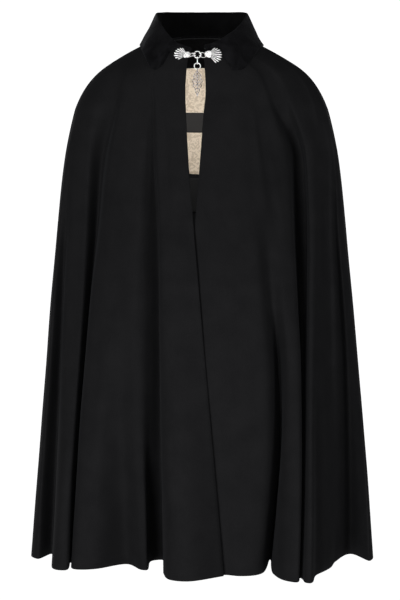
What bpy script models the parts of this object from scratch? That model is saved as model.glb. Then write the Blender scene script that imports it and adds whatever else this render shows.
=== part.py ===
# A hip-to-knee length wool cape on no one, with a turned-down velvet collar and
# a hooked ring clasp with a hanging pendant. +Z is up, the front faces -Y, the
# wearer's right is -X. The origin is the middle of the neck base.
import bpy
import bmesh
import math
import numpy as np
from mathutils import Vector
from mathutils.bvhtree import BVHTree

for old in list(bpy.data.objects):
    bpy.data.objects.remove(old, do_unlink=True)

# ---------------------------------------------------------------- dimensions
MM = 0.001
NECK_ABOVE_HEM = 0.960       # the origin above the hem
CLOTH = 2.0 * MM             # wool wall
VELVET = 3.0 * MM            # collar wall
LINING = 1.0 * MM            # yoke lining wall
SEAM_GAP = 0.3 * MM          # between two sewn pieces
ROUND = 2.2                  # how square the plan of the cape is, 2 = ellipse
PER_FOLD = 2                 # columns between one fold line of a front and the next
BACK_PER_FOLD = 4            # the same round the back, where the lines lie wider

# One row per level, from the neck seam to the hem: height above the hem at the
# front, side and back, half the width, and the depth of front and back.
LEVELS = [
    # name        front  side   back   half_w front_d back_d   (metres)
    ("neck",      0.945, 0.985, 1.000, 0.0800, 0.1150, 0.0620),
    ("collar",    0.935, 0.9700, 0.987, 0.1130, 0.1185, 0.0830),
    ("slope",     0.920, 0.9500, 0.965, 0.1500, 0.1230, 0.1020),
    ("shoulder",  0.902, 0.9185, 0.930, 0.1970, 0.1275, 0.1210),
    ("arm",       0.877, 0.8870, 0.892, 0.2230, 0.1295, 0.1350),
    ("chest",     0.848, 0.8510, 0.854, 0.2400, 0.1325, 0.1460),
    ("l800",      0.800, 0.8000, 0.800, 0.2525, 0.1405, 0.1580),
    ("l730",      0.730, 0.7300, 0.730, 0.2625, 0.1535, 0.1710),
    ("l650",      0.650, 0.6500, 0.650, 0.2708, 0.1675, 0.1830),
    ("l570",      0.570, 0.5700, 0.570, 0.2776, 0.1835, 0.1940),
    ("l480",      0.480, 0.4800, 0.480, 0.2868, 0.1965, 0.2045),
    ("l370",      0.370, 0.3700, 0.370, 0.2964, 0.2040, 0.2150),
    ("l250",      0.250, 0.2500, 0.250, 0.3070, 0.2100, 0.2250),
    ("l125",      0.125, 0.1250, 0.125, 0.3176, 0.2130, 0.2330),
    ("hem",       0.000, 0.0000, 0.000, 0.3272, 0.2150, 0.2400),
]
CHEST_ROW = 5                # the folds die out here

# The fold lines of the two fronts. Each line is given as it shows from straight
# in front, 2.6 m away, in columns of 1.9 mm from the left, at the heights above
# the hem in FOLD_HEIGHTS. Then how far it lies from the middle plane, in mm,
# minus is forward; then the line at the chest (mm across), how much it dips
# there, how slowly the dip dies out above, and its place at the neck.
VIEW_FROM = 2.60
FOLD_HEIGHTS = (0.000, 0.120, 0.250, 0.370, 0.500, 0.620, 0.750)
FRONT_LEFT_FOLDS = [
    ("e_under", (191.5, 191.6, 191.5, 191.8, 192.6, 195.0, 200.6),
                (-203, -198, -195, -192, -189, -170, -147),    5, 0, 3,    5),
    ("under_1", (208.4, 208.1, 206.8, 204.5, 200.0, 202.0, 206.2),
                (-179, -181, -185, -189, -190, -171, -149),   14, 0, 3,   10),
    ("under_2", (224.2, 221.4, 218.1, 214.0, 209.1, 209.5, 211.7),
                (-158, -169, -181, -190, -195, -175, -150),   24, 0, 3,   15),
    ("c_panel", (238.8, 235.0, 230.0, 227.5, 224.5, 222.5, 221.8),
                (-168, -176, -185, -192, -197, -175, -149),   40, 0, 3,   21),
    ("c_hip",   (253.5, 254.0, 253.0, 251.0, 245.0, 242.0, 241.0),
                (-163, -176, -184, -190, -194, -173, -147),   66, 0, 3,   28),
    ("d_left",   (262.0, 265.5, 268.5, 266.5, 260.0, 254.5, 252.0),
                (-143, -166, -179, -187, -190, -168, -142), 84, 0, 3,   32),
    ("d_floor",  (270.0, 276.2, 281.0, 278.5, 272.0, 265.5, 258.5),
                (-14, -62, -96, -114, -154, -156, -140), 91, 0, 3, 33.5),
    ("f_lip",    (273.2, 279.4, 283.8, 286.8, 282.6, 275.6, 264.0),
                (-148, -172, -174, -168, -162, -146, -132), 98, 0, 3,   35),
    ("f_face",   (284.0, 287.8, 290.6, 292.4, 289.6, 284.6, 273.0),
                (-205, -197, -186, -173, -158, -141, -125), 108, 0, 3,   37),
    ("f_right",  (297.0, 299.0, 299.4, 299.0, 295.8, 291.6, 286.0),
                (-221, -204, -186, -167, -147, -128, -112), 121, 0, 3,   39),
    ("r_floor",  (299.8, 301.2, 301.8, 301.6, 299.2, 296.6, 295.8),
                (-184, -152, -124, -102, -78, -60, -52), 131, 6, 1.0, 43),
    ("r_end",    (302.6, 303.8, 304.2, 304.6, 305.0, 305.6, 302.6),
                (-200, -166, -134, -110, -76, -52, -46), 150, 7, 1.3, 50),
    ("g_left",   (305.4, 307.4, 308.2, 308.6, 308.8, 309.2, 306.2),
                (-224, -198, -170, -144, -118, -98, -88), 163, 0, 3,   56),
    ("g_face",   (310.6, 311.4, 311.4, 312.0, 312.6, 313.4, 311.6),
                (-228, -200, -172, -145, -119, -98, -86), 176, 0, 3,   61),
    ("h_in",    (315.8, 316.2, 316.6, 318.0, 319.0, 320.0, 319.5),
                (-162, -150, -136, -117,  -96,  -78,  -68),  199, 3, 2,   69),
    ("h_face",  (324.5, 324.5, 324.5, 323.5, 323.5, 324.0, 323.5),
                (-124, -120, -107,  -90,  -74,  -58,  -58),  207, 0, 3, 71.5),
    ("h_dip",   (330.5, 331.0, 331.0, 330.5, 330.0, 328.5, 328.0),
                ( -92,  -82,  -70,  -57,  -49,  -47,  -49),  213, 0, 3, 73.2),
    ("i_ridge",  (335.6, 336.8, 336.8, 336.4, 334.6, 331.8, 331.0),
                (-34, -46, -50, -48, -44, -43, -46), 219, 0, 3, 74.8),
    ("v_side",   (350.5, 350.5, 349.5, 347.5, 343.4, 338.4, 334.5),
                (44, 34, 22, 10, -4, -22, -42), 224, 0, 3, 76.3),
    ("c_last",   (369.0, 366.6, 361.8, 356.6, 350.2, 343.8, 336.8),
                (-26, -30, -34, -38, -46, -48, -46), 230, 0, 3, 78.3),
]
FRONT_RIGHT_FOLDS = [
    ("c_last",   (38.6, 41.2, 46.0, 50.4, 54.6, 60.0, 66.4),
                (-6, -12, -18, -27, -36, -38, -38), -233, 0, 3, -79.2),
    ("v_side",   (51.6, 54.8, 57.9, 60.4, 63.0, 65.6, 70.5),
                (46, 36, 22, 8, -12, -34, -46), -226, 0, 3, -78),
    ("b_lip",    (53.0, 56.4, 59.6, 62.4, 65.8, 69.8, 74.0),
                (-100, -86, -70, -60, -52, -52, -54), -221, 0, 3, -77),
    ("b_face",   (59.6, 63.4, 68.6, 73.6, 77.2, 79.0, 82.0),
                (-114, -105, -92, -80, -71, -68, -67), -212, 0, 3, -75.5),
    ("b_right",  (66.6, 69.2, 74.2, 78.8, 83.4, 86.6, 89.5),
                (-113, -104, -93, -84, -77, -75, -75), -194, 0, 3, -72),
    ("v_main",   (71.0, 75.2, 79.4, 84.8, 90.6, 96.8, 102.2),
                (-42, -32, -27, -28, -29, -34, -54), -157, 9, 1.1, -66),
    ("c_lip",    (72.6, 76.8, 81.0, 86.2, 92.4, 100.8, 109.0),
                (-102, -106, -107, -106, -104, -102, -106), -146, 0, 3, -63),
    ("c_face",  ( 81.5,  86.0,  91.0,  96.0, 101.0, 108.0, 116.0),
                (-110, -118, -124, -126, -124, -121, -119), -132, 0, 3, -60),
    ("c_front", ( 96.5,  98.5, 101.0, 107.0, 113.0, 118.0, 123.0),
                (-103, -119, -130, -138, -140, -135, -128), -121, 0, 3, -57),
    ("v_wide",  (127.0, 124.0, 121.0, 122.0, 125.0, 128.0, 131.0),
                ( -58,  -90, -118, -141, -155, -147, -133), -111, 0, 3, -54),
    ("c_wide",  (141.0, 139.0, 135.0, 134.0, 135.5, 137.5, 140.0),
                (-112, -124, -139, -154, -162, -154, -138), -101, 0, 3, -51),
    ("c_edge",  (146.8, 145.2, 142.5, 141.5, 141.5, 142.0, 145.0),
                (-115, -126, -140, -153, -158, -152, -138),  -95, 0, 3, -48.5),
    ("v_slope", (152.0, 151.6, 151.0, 151.0, 150.5, 150.0, 149.5),
                ( -26,  -62, -118, -136, -143, -138, -132),  -91, 0, 3, -46.8),
    ("v_crisp", (162.0, 161.4, 160.8, 160.0, 159.4, 158.2, 154.2),
                ( -16,  -44,  -92, -114, -126, -126, -127),  -87, 2, 2, -45),
    ("d_lip",   (163.4, 162.8, 162.0, 161.2, 160.8, 160.2, 157.0),
                (-150, -170, -178, -180, -181, -165, -140),  -83, 0, 3, -43.5),
    ("d_face",  (170.0, 170.5, 170.5, 170.0, 169.5, 169.0, 167.0),
                (-202, -202, -200, -196, -192, -173, -144),  -71, 0, 3, -39),
    ("c_panel", (188.0, 185.6, 182.5, 181.2, 180.0, 177.8, 172.0),
                (-214, -210, -207, -202, -198, -177, -149),  -50, 0, 3, -32),
    ("e_over",  (223.6, 217.8, 211.3, 205.2, 198.8, 193.2, 187.8),
                (-168, -178, -190, -195, -199, -178, -150),  -30, 0, 3, -23),
]


def across(column, deep):
    """mm from the middle for a line that shows at this column of the view."""
    return (column - 201.7) * 1.9 * (VIEW_FROM + deep * MM) / VIEW_FROM

# One row per fold line of the back, from the wearer's left side to the right:
# its place as a share of half the width, its depth at the hem in millimetres,
# inwards positive, and the height above the hem where it dies out.
BACK_FOLDS = [
    # name     share  depth  ends
    ("v1",      0.90,   34, 0.60),
    ("c1",      0.80,   -6, 0.64),
    ("v2",      0.69,   48, 0.72),
    ("c2",      0.58,   -8, 0.74),
    ("v3",      0.44,   56, 0.78),
    ("c3",      0.29,   -9, 0.72),
    ("v4",      0.13,   40, 0.62),
    ("c4",     -0.03,   -7, 0.62),
    ("v5",     -0.18,   52, 0.74),
    ("c5",     -0.34,   -9, 0.74),
    ("v6",     -0.49,   60, 0.80),
    ("c6",     -0.62,   -7, 0.74),
    ("v7",     -0.74,   42, 0.66),
    ("c7",     -0.86,   -5, 0.62),
]
SIDE_SEAM_Y = 30.0           # the side seam lies this far behind the middle, mm

# The collar, one row per section from the wearer's right front end round the
# back to the left front end. roll is the top of the turn, edge the edge of the
# fall; heights above the hem, metres; belly is how far the fall bows out, mm.
COLLAR = [
    # at      roll_x  roll_y   roll_z  edge_x  edge_z  edge_y  belly
    (-1.000, -0.0330, -0.1225, 0.9570, -0.0790, 0.9125, None,   3.0),
    (-0.930, -0.0450, -0.1160, 0.9610, -0.0880, 0.9135, None,   3.5),
    (-0.860, -0.0570, -0.1080, 0.9700, -0.0990, 0.9290, None,   4.0),
    (-0.740, -0.0710, -0.0800, 0.9900, -0.1100, 0.9540, None,   4.0),
    (-0.600, -0.0820, -0.0400, 1.0160, -0.1155, 0.9720, None,   3.5),
    (-0.450, -0.0850,  0.0050, 1.0340, -0.1120, None,   0.030,  3.0),
    (-0.250, -0.0620,  0.0530, 1.0460, -0.0780, None,   0.079,  3.0),
    ( 0.000,  0.0000,  0.0740, 1.0500,  0.0000, None,   0.103,  3.0),
    ( 0.250,  0.0620,  0.0530, 1.0460,  0.0780, None,   0.079,  3.0),
    ( 0.450,  0.0850,  0.0050, 1.0340,  0.1120, None,   0.030,  3.0),
    ( 0.600,  0.0790, -0.0400, 1.0170,  0.1155, 0.9720, None,   3.5),
    ( 0.740,  0.0600, -0.0860, 0.9940,  0.1010, 0.9460, None,   4.0),
    ( 0.860,  0.0420, -0.1100, 0.9790,  0.0870, 0.9250, None,   4.0),
    ( 0.930,  0.0280, -0.1180, 0.9680,  0.0740, 0.9120, None,   3.5),
    ( 1.000,  0.0150, -0.1225, 0.9580,  0.0590, 0.9110, None,   3.0),
]
COLLAR_COLUMNS = 36
STAND_ENDS_X = (-0.0215, 0.0040)     # front ends of the stand

YOKE_HALF_W = 0.135          # back yoke lining
YOKE_TOP, YOKE_LOW = 0.950, 0.741    # at the middle of the back, above the hem
LABEL = (0.090, 0.8640, 0.8230)      # width, top, bottom
CARE_TAB = (0.030, 0.7360, 0.6690, -0.0170)   # width, top, bottom, middle x

# The clasp: millimetres and heights above the hem in metres.
CLASP_Y = -0.1370            # plane of the clasp ring
RING = (-0.0080, 0.9310, 6.0 * MM, 1.0 * MM)    # x, z, radius to wire, wire radius
LINK_SIZE = (4.2 * MM, 6.5 * MM, 0.8 * MM)      # half width, half height, wire
LOW_RING = (5.6 * MM, 1.0 * MM)                 # radius to wire, wire radius
EYE = (2.4 * MM, 0.7 * MM)                      # the pendant's eye
SLACK = 0.2 * MM             # between two linked wires
PENDANT = (0.0190, 0.0460, 2.4 * MM)            # width, height, thickness
FAN_RIGHT = (-0.0256, 0.9335, 24.6 * MM, 167.0, 8)   # hub x, z, reach, way, ribs
FAN_LEFT = (0.0106, 0.9338, 26.0 * MM, -9.0, 9)
FAN_HALF_ANGLE = (37.0, 41.0)    # right, left
KNOB = 3.4 * MM

# ---------------------------------------------------------------- materials
def material(name, colour, rough, metal=0.0, sheen=0.0):
    m = bpy.data.materials.new(name)
    m.use_nodes = True
    b = m.node_tree.nodes["Principled BSDF"]
    b.inputs["Base Color"].default_value = (*colour, 1.0)
    b.inputs["Roughness"].default_value = rough
    b.inputs["Metallic"].default_value = metal
    b.inputs["Sheen Weight"].default_value = sheen
    return m


WOOL = dict(colour=(0.012, 0.0125, 0.014), rough=0.95, sheen=0.3)
VELVET_LOOK = dict(colour=(0.006, 0.006, 0.0075), rough=0.8, sheen=0.5)
SILVER = dict(colour=(0.80, 0.79, 0.78), rough=0.22, metal=1.0)

cape = bpy.data.collections.new("velvet_collar_cape")
cutters = bpy.data.collections.new("cutters")
bpy.context.scene.collection.children.link(cape)
bpy.context.scene.collection.children.link(cutters)


def add(name, verts, faces, look, origin=(0.0, 0.0, 0.0)):
    o = Vector(origin)
    mesh = bpy.data.meshes.new(name)
    mesh.from_pydata([tuple(Vector(v) - o) for v in verts], [], faces)
    mesh.update()
    bm = bmesh.new()
    bm.from_mesh(mesh)
    bmesh.ops.recalc_face_normals(bm, faces=bm.faces)
    bm.to_mesh(mesh)
    bm.free()
    obj = bpy.data.objects.new(name, mesh)
    obj.location = o
    cape.objects.link(obj)
    mesh.materials.append(material("m_" + name, **look))
    return obj


# ---------------------------------------------------------------- curves
def slopes(xs, ys):
    """Monotone cubic slopes through a short table."""
    n = len(xs)
    h = np.diff(xs)
    d = (np.diff(ys, axis=0).T / h).T
    m = np.zeros_like(ys)
    m[0], m[-1] = d[0], d[-1]
    for i in range(1, n - 1):
        same = d[i - 1] * d[i] > 0
        w1, w2 = 2 * h[i] + h[i - 1], h[i] + 2 * h[i - 1]
        with np.errstate(divide="ignore", invalid="ignore"):
            mean = (w1 + w2) / (w1 / d[i - 1] + w2 / d[i])
        m[i] = np.where(same, mean, 0.0)
    return m


def through(xs, ys, x):
    """Monotone cubic through the rows of a table, at x."""
    xs = np.asarray(xs, float)
    ys = np.asarray(ys, float)
    m = slopes(xs, ys)
    x = min(max(x, xs[0]), xs[-1])
    i = min(int(np.searchsorted(xs, x, side="right")) - 1, len(xs) - 2)
    h = xs[i + 1] - xs[i]
    t = (x - xs[i]) / h
    return ((2 * t**3 - 3 * t**2 + 1) * ys[i] + (t**3 - 2 * t**2 + t) * h * m[i]
            + (-2 * t**3 + 3 * t**2) * ys[i + 1] + (t**3 - t**2) * h * m[i + 1])


def smooth_run(points, per):
    """Centripetal curve through points, `per` steps from each to the next.
    A list gives the steps of each stretch."""
    p = [np.asarray(q, float) for q in points]
    p = [2 * p[0] - p[1]] + p + [2 * p[-1] - p[-2]]
    out = []
    for i in range(1, len(p) - 2):
        steps = per[i - 1] if isinstance(per, list) else per
        a, b, c, d = p[i - 1], p[i], p[i + 1], p[i + 2]
        t0 = 0.0
        t1 = t0 + max(np.linalg.norm(b - a), 1e-9) ** 0.5
        t2 = t1 + max(np.linalg.norm(c - b), 1e-9) ** 0.5
        t3 = t2 + max(np.linalg.norm(d - c), 1e-9) ** 0.5
        for k in range(steps):
            t = t1 + (t2 - t1) * k / steps
            a1 = (t1 - t) / (t1 - t0) * a + (t - t0) / (t1 - t0) * b
            a2 = (t2 - t) / (t2 - t1) * b + (t - t1) / (t2 - t1) * c
            a3 = (t3 - t) / (t3 - t2) * c + (t - t2) / (t3 - t2) * d
            b1 = (t2 - t) / (t2 - t0) * a1 + (t - t0) / (t2 - t0) * a2
            b2 = (t3 - t) / (t3 - t1) * a2 + (t - t1) / (t3 - t1) * a3
            out.append((t2 - t) / (t2 - t1) * b1 + (t - t1) / (t2 - t1) * b2)
    out.append(p[-2])
    return out


def rim(share, depth):
    """Depth of the plain plan at a share of the half width."""
    s = min(abs(share), 1.0)
    return depth * max(1.0 - s ** ROUND, 0.0) ** (1.0 / ROUND)


# ---------------------------------------------------------------- the cloth
def front_knots(rows, row):
    """Plan points of the fold lines of one front at one level."""
    name, zf, zs, zb, a, bf, bb = LEVELS[row]
    chest = LEVELS[CHEST_ROW]
    out = []
    for name, columns, deeps, x_chest, dip, fade, x_neck in rows:
        if row >= CHEST_ROW:
            y_chest = -rim(x_chest * MM / chest[4], chest[5]) / MM + dip
            pts = [[across(c, d), d] for c, d in zip(columns, deeps)] + [[x_chest, y_chest]]
            q = through(list(FOLD_HEIGHTS) + [chest[1]], pts, zf)
            out.append((q[0] * MM, q[1] * MM))
        else:
            k = row / CHEST_ROW
            s0, s1 = x_neck * MM / LEVELS[0][4], x_chest * MM / chest[4]
            s = s0 + (s1 - s0) * k
            if name.startswith("e_") or name.startswith("under"):
                x = (x_neck + (x_chest - x_neck) * min(k * 1.25, 1.0)) * MM
                s = x / a
            out.append((s * a, -rim(s, bf) + dip * MM * k ** fade))
    return out


def back_knots(row):
    name, zf, zs, zb, a, bf, bb = LEVELS[row]
    out = []
    for _, share, depth, ends in BACK_FOLDS:
        grow = max(1.0 - zb / ends, 0.0) ** 0.9
        s = share * (1.0 - 0.04 * (1.0 - grow))
        y = rim(s, bb) - depth * MM * grow
        out.append((s * a, y))
    return out


def side_y(row):
    return SIDE_SEAM_Y * MM * min(0.12 + 0.88 * row / 9.0, 1.0)


def plan(row):
    """The whole way round at one level: left front edge, side, back, side,
    right front edge. Returns the points and the places of the two side seams."""
    a = LEVELS[row][4]
    left = front_knots(FRONT_LEFT_FOLDS, row)
    right = front_knots(FRONT_RIGHT_FOLDS, row)
    back = back_knots(row)
    knots = left + [(a, side_y(row))] + back + [(-a, side_y(row))] + right
    per = [PER_FOLD] * len(left) + [BACK_PER_FOLD] * (len(back) + 1) + [PER_FOLD] * len(right)
    seam = len(left) * PER_FOLD
    return smooth_run(knots, per), seam, seam + (len(back) + 1) * BACK_PER_FOLD


def height(row, x, y):
    name, zf, zs, zb, a, bf, bb = LEVELS[row]
    c = abs(y) / (bf if y < 0 else bb)
    c = min(c, 1.0) ** 2
    return zs + ((zf if y < 0 else zb) - zs) * c


def cloth_grid():
    grid = []
    for row in range(len(LEVELS)):
        pts, s1, s2 = plan(row)
        grid.append([(p[0], p[1], height(row, p[0], p[1]) - NECK_ABOVE_HEM) for p in pts])
    return np.array(grid), s1, s2


def normals(grid):
    """Outward normals of a grid of rows (down) and columns (round)."""
    du = np.gradient(grid, axis=1)
    dv = np.gradient(grid, axis=0)
    n = np.cross(dv, du)
    return n / np.maximum(np.linalg.norm(n, axis=2, keepdims=True), 1e-12)


def wall(name, outer, inner, look, origin=(0.0, 0.0, 0.0)):
    """A closed solid between two grids."""
    rows, cols = outer.shape[:2]
    verts = [tuple(v) for v in outer.reshape(-1, 3)] + [tuple(v) for v in inner.reshape(-1, 3)]
    m = rows * cols
    at = lambda r, c, k: k * m + r * cols + c
    faces = []
    for r in range(rows - 1):
        for c in range(cols - 1):
            faces.append((at(r, c, 0), at(r + 1, c, 0), at(r + 1, c + 1, 0), at(r, c + 1, 0)))
            faces.append((at(r, c, 1), at(r, c + 1, 1), at(r + 1, c + 1, 1), at(r + 1, c, 1)))
    for r in range(rows - 1):
        faces.append((at(r, 0, 0), at(r, 0, 1), at(r + 1, 0, 1), at(r + 1, 0, 0)))
        e = cols - 1
        faces.append((at(r, e, 0), at(r + 1, e, 0), at(r + 1, e, 1), at(r, e, 1)))
    for c in range(cols - 1):
        faces.append((at(0, c, 0), at(0, c + 1, 0), at(0, c + 1, 1), at(0, c, 1)))
        b = rows - 1
        faces.append((at(b, c, 0), at(b, c, 1), at(b, c + 1, 1), at(b, c + 1, 0)))
    halves = []
    for q in faces:
        # the same diagonal on both sides keeps the wall even
        near = q if (q[0] < m and q[2] < m) or not all(i >= m for i in q) else (q[1], q[2], q[3], q[0])
        if all(i >= m for i in q):
            halves += [(q[0], q[1], q[2]), (q[0], q[2], q[3])]
        else:
            halves += [(near[0], near[1], near[2]), (near[0], near[2], near[3])]
    faces = halves
    return add(name, verts, faces, look, origin)


GRID, S1, S2 = cloth_grid()
NORM = normals(GRID)
SIGN = 1.0 if NORM[6, 3][1] < 0 else -1.0
NORM = NORM * SIGN


def panel(name, c0, c1, start_seam, end_seam):
    g = GRID[:, c0:c1 + 1].copy()
    n = NORM[:, c0:c1 + 1].copy()
    if start_seam:
        way = g[:, 1] - g[:, 0]
        way /= np.linalg.norm(way, axis=1, keepdims=True)
        g[:, 0] += way * SEAM_GAP / 2
    if end_seam:
        way = g[:, -2] - g[:, -1]
        way /= np.linalg.norm(way, axis=1, keepdims=True)
        g[:, -1] += way * SEAM_GAP / 2
    return wall(name, g, g - n * CLOTH, WOOL)


front_left = panel("front_left", 0, S1, False, True)
back = panel("back", S1, S2, True, True)
front_right = panel("front_right", S2, GRID.shape[1] - 1, True, False)


def surface_of(objects):
    verts, polys = [], []
    for o in objects:
        base = len(verts)
        verts += [tuple(o.matrix_world @ v.co) for v in o.data.vertices]
        polys += [tuple(base + i for i in p.vertices) for p in o.data.polygons]
    return BVHTree.FromPolygons(verts, polys)


for o in (front_left, back, front_right):
    o.matrix_world.identity()
OUTSIDE = surface_of([front_left, back, front_right])


def front_hit(x, z):
    """Where a line going back from the front meets the cloth."""
    p, n, _, _ = OUTSIDE.ray_cast(Vector((x, -1.0, z)), Vector((0, 1, 0)))
    return p, n


def down_hit(x, y):
    p, n, _, _ = OUTSIDE.ray_cast(Vector((x, y, 0.5)), Vector((0, 0, -1)))
    return p, n


# ---------------------------------------------------------------- the collar
def ring_at(s, row=0):
    """A point of a level at s, -1 right front end, 0 back, 1 left front end."""
    pts = GRID[row]
    n = pts.shape[0] - 1
    seg = np.linalg.norm(np.diff(pts, axis=0), axis=1)
    run = np.concatenate([[0], np.cumsum(seg)])
    back_i = int(np.argmin(np.abs(pts[S1:S2, 0]))) + S1
    d = run[back_i] + (run[-1] - run[back_i]) * (-s) if s <= 0 else run[back_i] * (1.0 - s)
    return np.array([np.interp(d, run, pts[:, k]) for k in range(3)])


def held_off(p, least):
    """Move a point out until it is clear of the cloth."""
    for _ in range(3):
        near, n, _, d = OUTSIDE.find_nearest(Vector(p))
        out = (Vector(p) - near).dot(n)
        if out > least:
            break
        p = np.array(Vector(p) + n * (least - out + 0.1 * MM))
    return p


def collar_grid():
    at = [r[0] for r in COLLAR]
    edges = []
    for r in COLLAR:
        x, z, y = r[4], r[5], r[6]
        lift = VELVET / 2 + 1.0 * MM
        if y is None:
            z = z - NECK_ABOVE_HEM
            hit, n = front_hit(x, z)
            if hit is None:
                hit, n = Vector((x, -0.005, z)), Vector((0, 0, 1))
            edges.append(list(hit + n * lift))
        else:
            hit, n = down_hit(x, y)
            edges.append(list(hit + n * lift))
    rows = []
    for i in range(COLLAR_COLUMNS + 1):
        s = -1.0 + 2.0 * i / COLLAR_COLUMNS
        s = math.copysign(abs(s) ** 0.9, s)
        roll = through(at, [[r[1], r[2], r[3] - NECK_ABOVE_HEM, r[7] * MM] for r in COLLAR], s)
        edge = through(at, edges, s)
        base = ring_at(s) + np.array([0, 0, 1.6 * MM])
        way = np.array([roll[0], roll[1] + 0.01, 0.0])
        way /= np.linalg.norm(way)
        away = np.array([edge[0] - roll[0], edge[1] - roll[1], 0.0])
        away /= max(np.linalg.norm(away), 1e-9)
        top = np.array(roll[:3])
        base = base - np.array([way[0], way[1], 0]) * 0.6 * MM
        s1 = top - way * 3.2 * MM + np.array([0, 0, -3.0 * MM])
        f1 = top + away * 3.4 * MM + np.array([0, 0, -2.6 * MM])
        mid = (f1 + edge) / 2 + away * roll[3] * 0.5 + np.array([0, 0, roll[3] * 0.8])
        col = smooth_run([base, (base + s1) / 2 - way * 0.6 * MM, s1, top, f1, mid, edge], 2)
        col = col[:8] + [held_off(q, VELVET / 2 + 0.9 * MM) for q in col[8:]]
        rows.append(col)
    return np.array(rows).transpose(1, 0, 2)


CG = collar_grid()
CN = normals(CG)
collar = wall("collar", CG + CN * VELVET / 2, CG - CN * VELVET / 2, VELVET_LOOK)

# ---------------------------------------------------------------- inside the back
def back_inside(x, z, inwards):
    """A point of the inner side of the back, moved in."""
    p, n, _, _ = INSIDE.ray_cast(Vector((x, 0.0, z)), Vector((0, 1, 0)))
    return np.array(p) + np.array(n) * inwards


INSIDE = surface_of([back])


def inside_patch(name, half_w, top, low, cols, rows_n, inwards, thick, look, mid_x=0.0, drop=0.0):
    outer = np.zeros((rows_n + 1, cols + 1, 3))
    inner = np.zeros_like(outer)
    for r in range(rows_n + 1):
        for c in range(cols + 1):
            u = -1.0 + 2.0 * c / cols
            x = mid_x + half_w * u
            lo = low + drop * u * u
            hi = top - (top - lo) * 0.0 - 0.10 * x * x * 10 * (1 if drop else 0)
            z = hi + (lo - hi) * r / rows_n - NECK_ABOVE_HEM
            p = back_inside(x, z, inwards)
            outer[r, c] = p
            inner[r, c] = p + np.array([0, -thick, 0])
    return wall(name, outer, inner, look)


lining = inside_patch("lining_yoke", YOKE_HALF_W, YOKE_TOP, YOKE_LOW, 18, 9, 1.0 * MM, LINING,
                      dict(colour=(0.68, 0.55, 0.42), rough=0.6), drop=0.03)
label = inside_patch("label_band", LABEL[0] / 2, LABEL[1], LABEL[2], 8, 3, 3.0 * MM, 0.8 * MM,
                     dict(colour=(0.025, 0.021, 0.018), rough=0.6))
care = inside_patch("care_tab", CARE_TAB[0] / 2, CARE_TAB[1], CARE_TAB[2], 3, 4, 2.6 * MM, 0.7 * MM,
                    dict(colour=(0.010, 0.010, 0.011), rough=0.5), mid_x=CARE_TAB[3])


# ---------------------------------------------------------------- the clasp
def torus_points(centre, radius, wire, axis, round_n=20, wire_n=8, squash=1.0):
    """A ring of wire about an axis; squash stretches it along Z."""
    verts, faces = [], []
    for i in range(round_n):
        a = 2 * math.pi * i / round_n
        c, s = math.cos(a), math.sin(a)
        for j in range(wire_n):
            b = 2 * math.pi * j / wire_n
            out, side = math.cos(b) * wire, math.sin(b) * wire
            if axis == "Y":
                p = (c * radius + c * out, side, s * radius * squash + s * out)
            elif axis == "X":
                p = (side, c * radius + c * out, s * radius * squash + s * out)
            else:
                p = (c * radius + c * out, s * radius + s * out, side)
            verts.append(tuple(centre[k] + p[k] for k in range(3)))
    for i in range(round_n):
        for j in range(wire_n):
            i2, j2 = (i + 1) % round_n, (j + 1) % wire_n
            faces.append((i * wire_n + j, i * wire_n + j2, i2 * wire_n + j2, i2 * wire_n + j))
    return verts, faces


def fan_points(hub, reach, way_deg, ribs, half_deg, back_y):
    """A ribbed shell with a scalloped edge and a domed knob, flat behind."""
    steps = ribs * 4
    half = math.radians(half_deg)
    way = math.radians(way_deg)
    verts = [(hub[0], back_y - 5.4 * MM, hub[1]), (hub[0], back_y, hub[1])]
    shares = [0.07, 0.16, 0.30, 0.55, 0.8, 1.0]
    count = steps + 10
    rings = []
    for sh in shares:
        ring = []
        for i in range(count):
            if i <= steps:
                f = -1.0 + 2.0 * i / steps
                a = way + f * half
                lobe = abs(math.cos(math.pi * ribs * (f + 1.0) / 2.0 + math.pi / 2))
                full = reach * (1.0 - 0.20 * f * f) * (0.93 + 0.07 * lobe)
            else:
                g = (i - steps) / 10.0
                a = way + half + g * (2 * math.pi - 2 * half)
                lobe = 0.0
                full = KNOB * 1.05
            blend = 1.0 if i <= steps else 0.0
            r = full * sh if blend else full * min(sh * 1.0 + 0.0, 1.0)
            r = max(r, 0.2 * MM)
            if r < KNOB * 0.98:
                top = 2.6 * MM + 2.8 * MM * math.sqrt(max(1.0 - (r / KNOB) ** 2, 0.0))
            else:
                fall = (r / reach)
                top = (2.9 - 1.3 * fall) * MM + 0.8 * MM * lobe * min(fall * 1.6, 1.0)
            top = max(top, 1.2 * MM)
            ring.append((hub[0] + r * math.cos(a), top, hub[1] + r * math.sin(a)))
        rings.append(ring)
    for ring in rings:
        verts += [(p[0], back_y - p[1], p[2]) for p in ring]
    last = rings[-1]
    start_back = len(verts)
    verts += [(p[0], back_y, p[2]) for p in last]
    faces = []
    at = lambda k, i: 2 + k * count + i % count
    for i in range(count):
        faces.append((0, at(0, i), at(0, i + 1)))
        for k in range(len(rings) - 1):
            faces.append((at(k, i), at(k + 1, i), at(k + 1, i + 1), at(k, i + 1)))
        k = len(rings) - 1
        b1, b2 = start_back + i, start_back + (i + 1) % count
        faces.append((at(k, i), b1, b2, at(k, i + 1)))
        faces.append((1, b2, b1))
    return verts, faces


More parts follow.
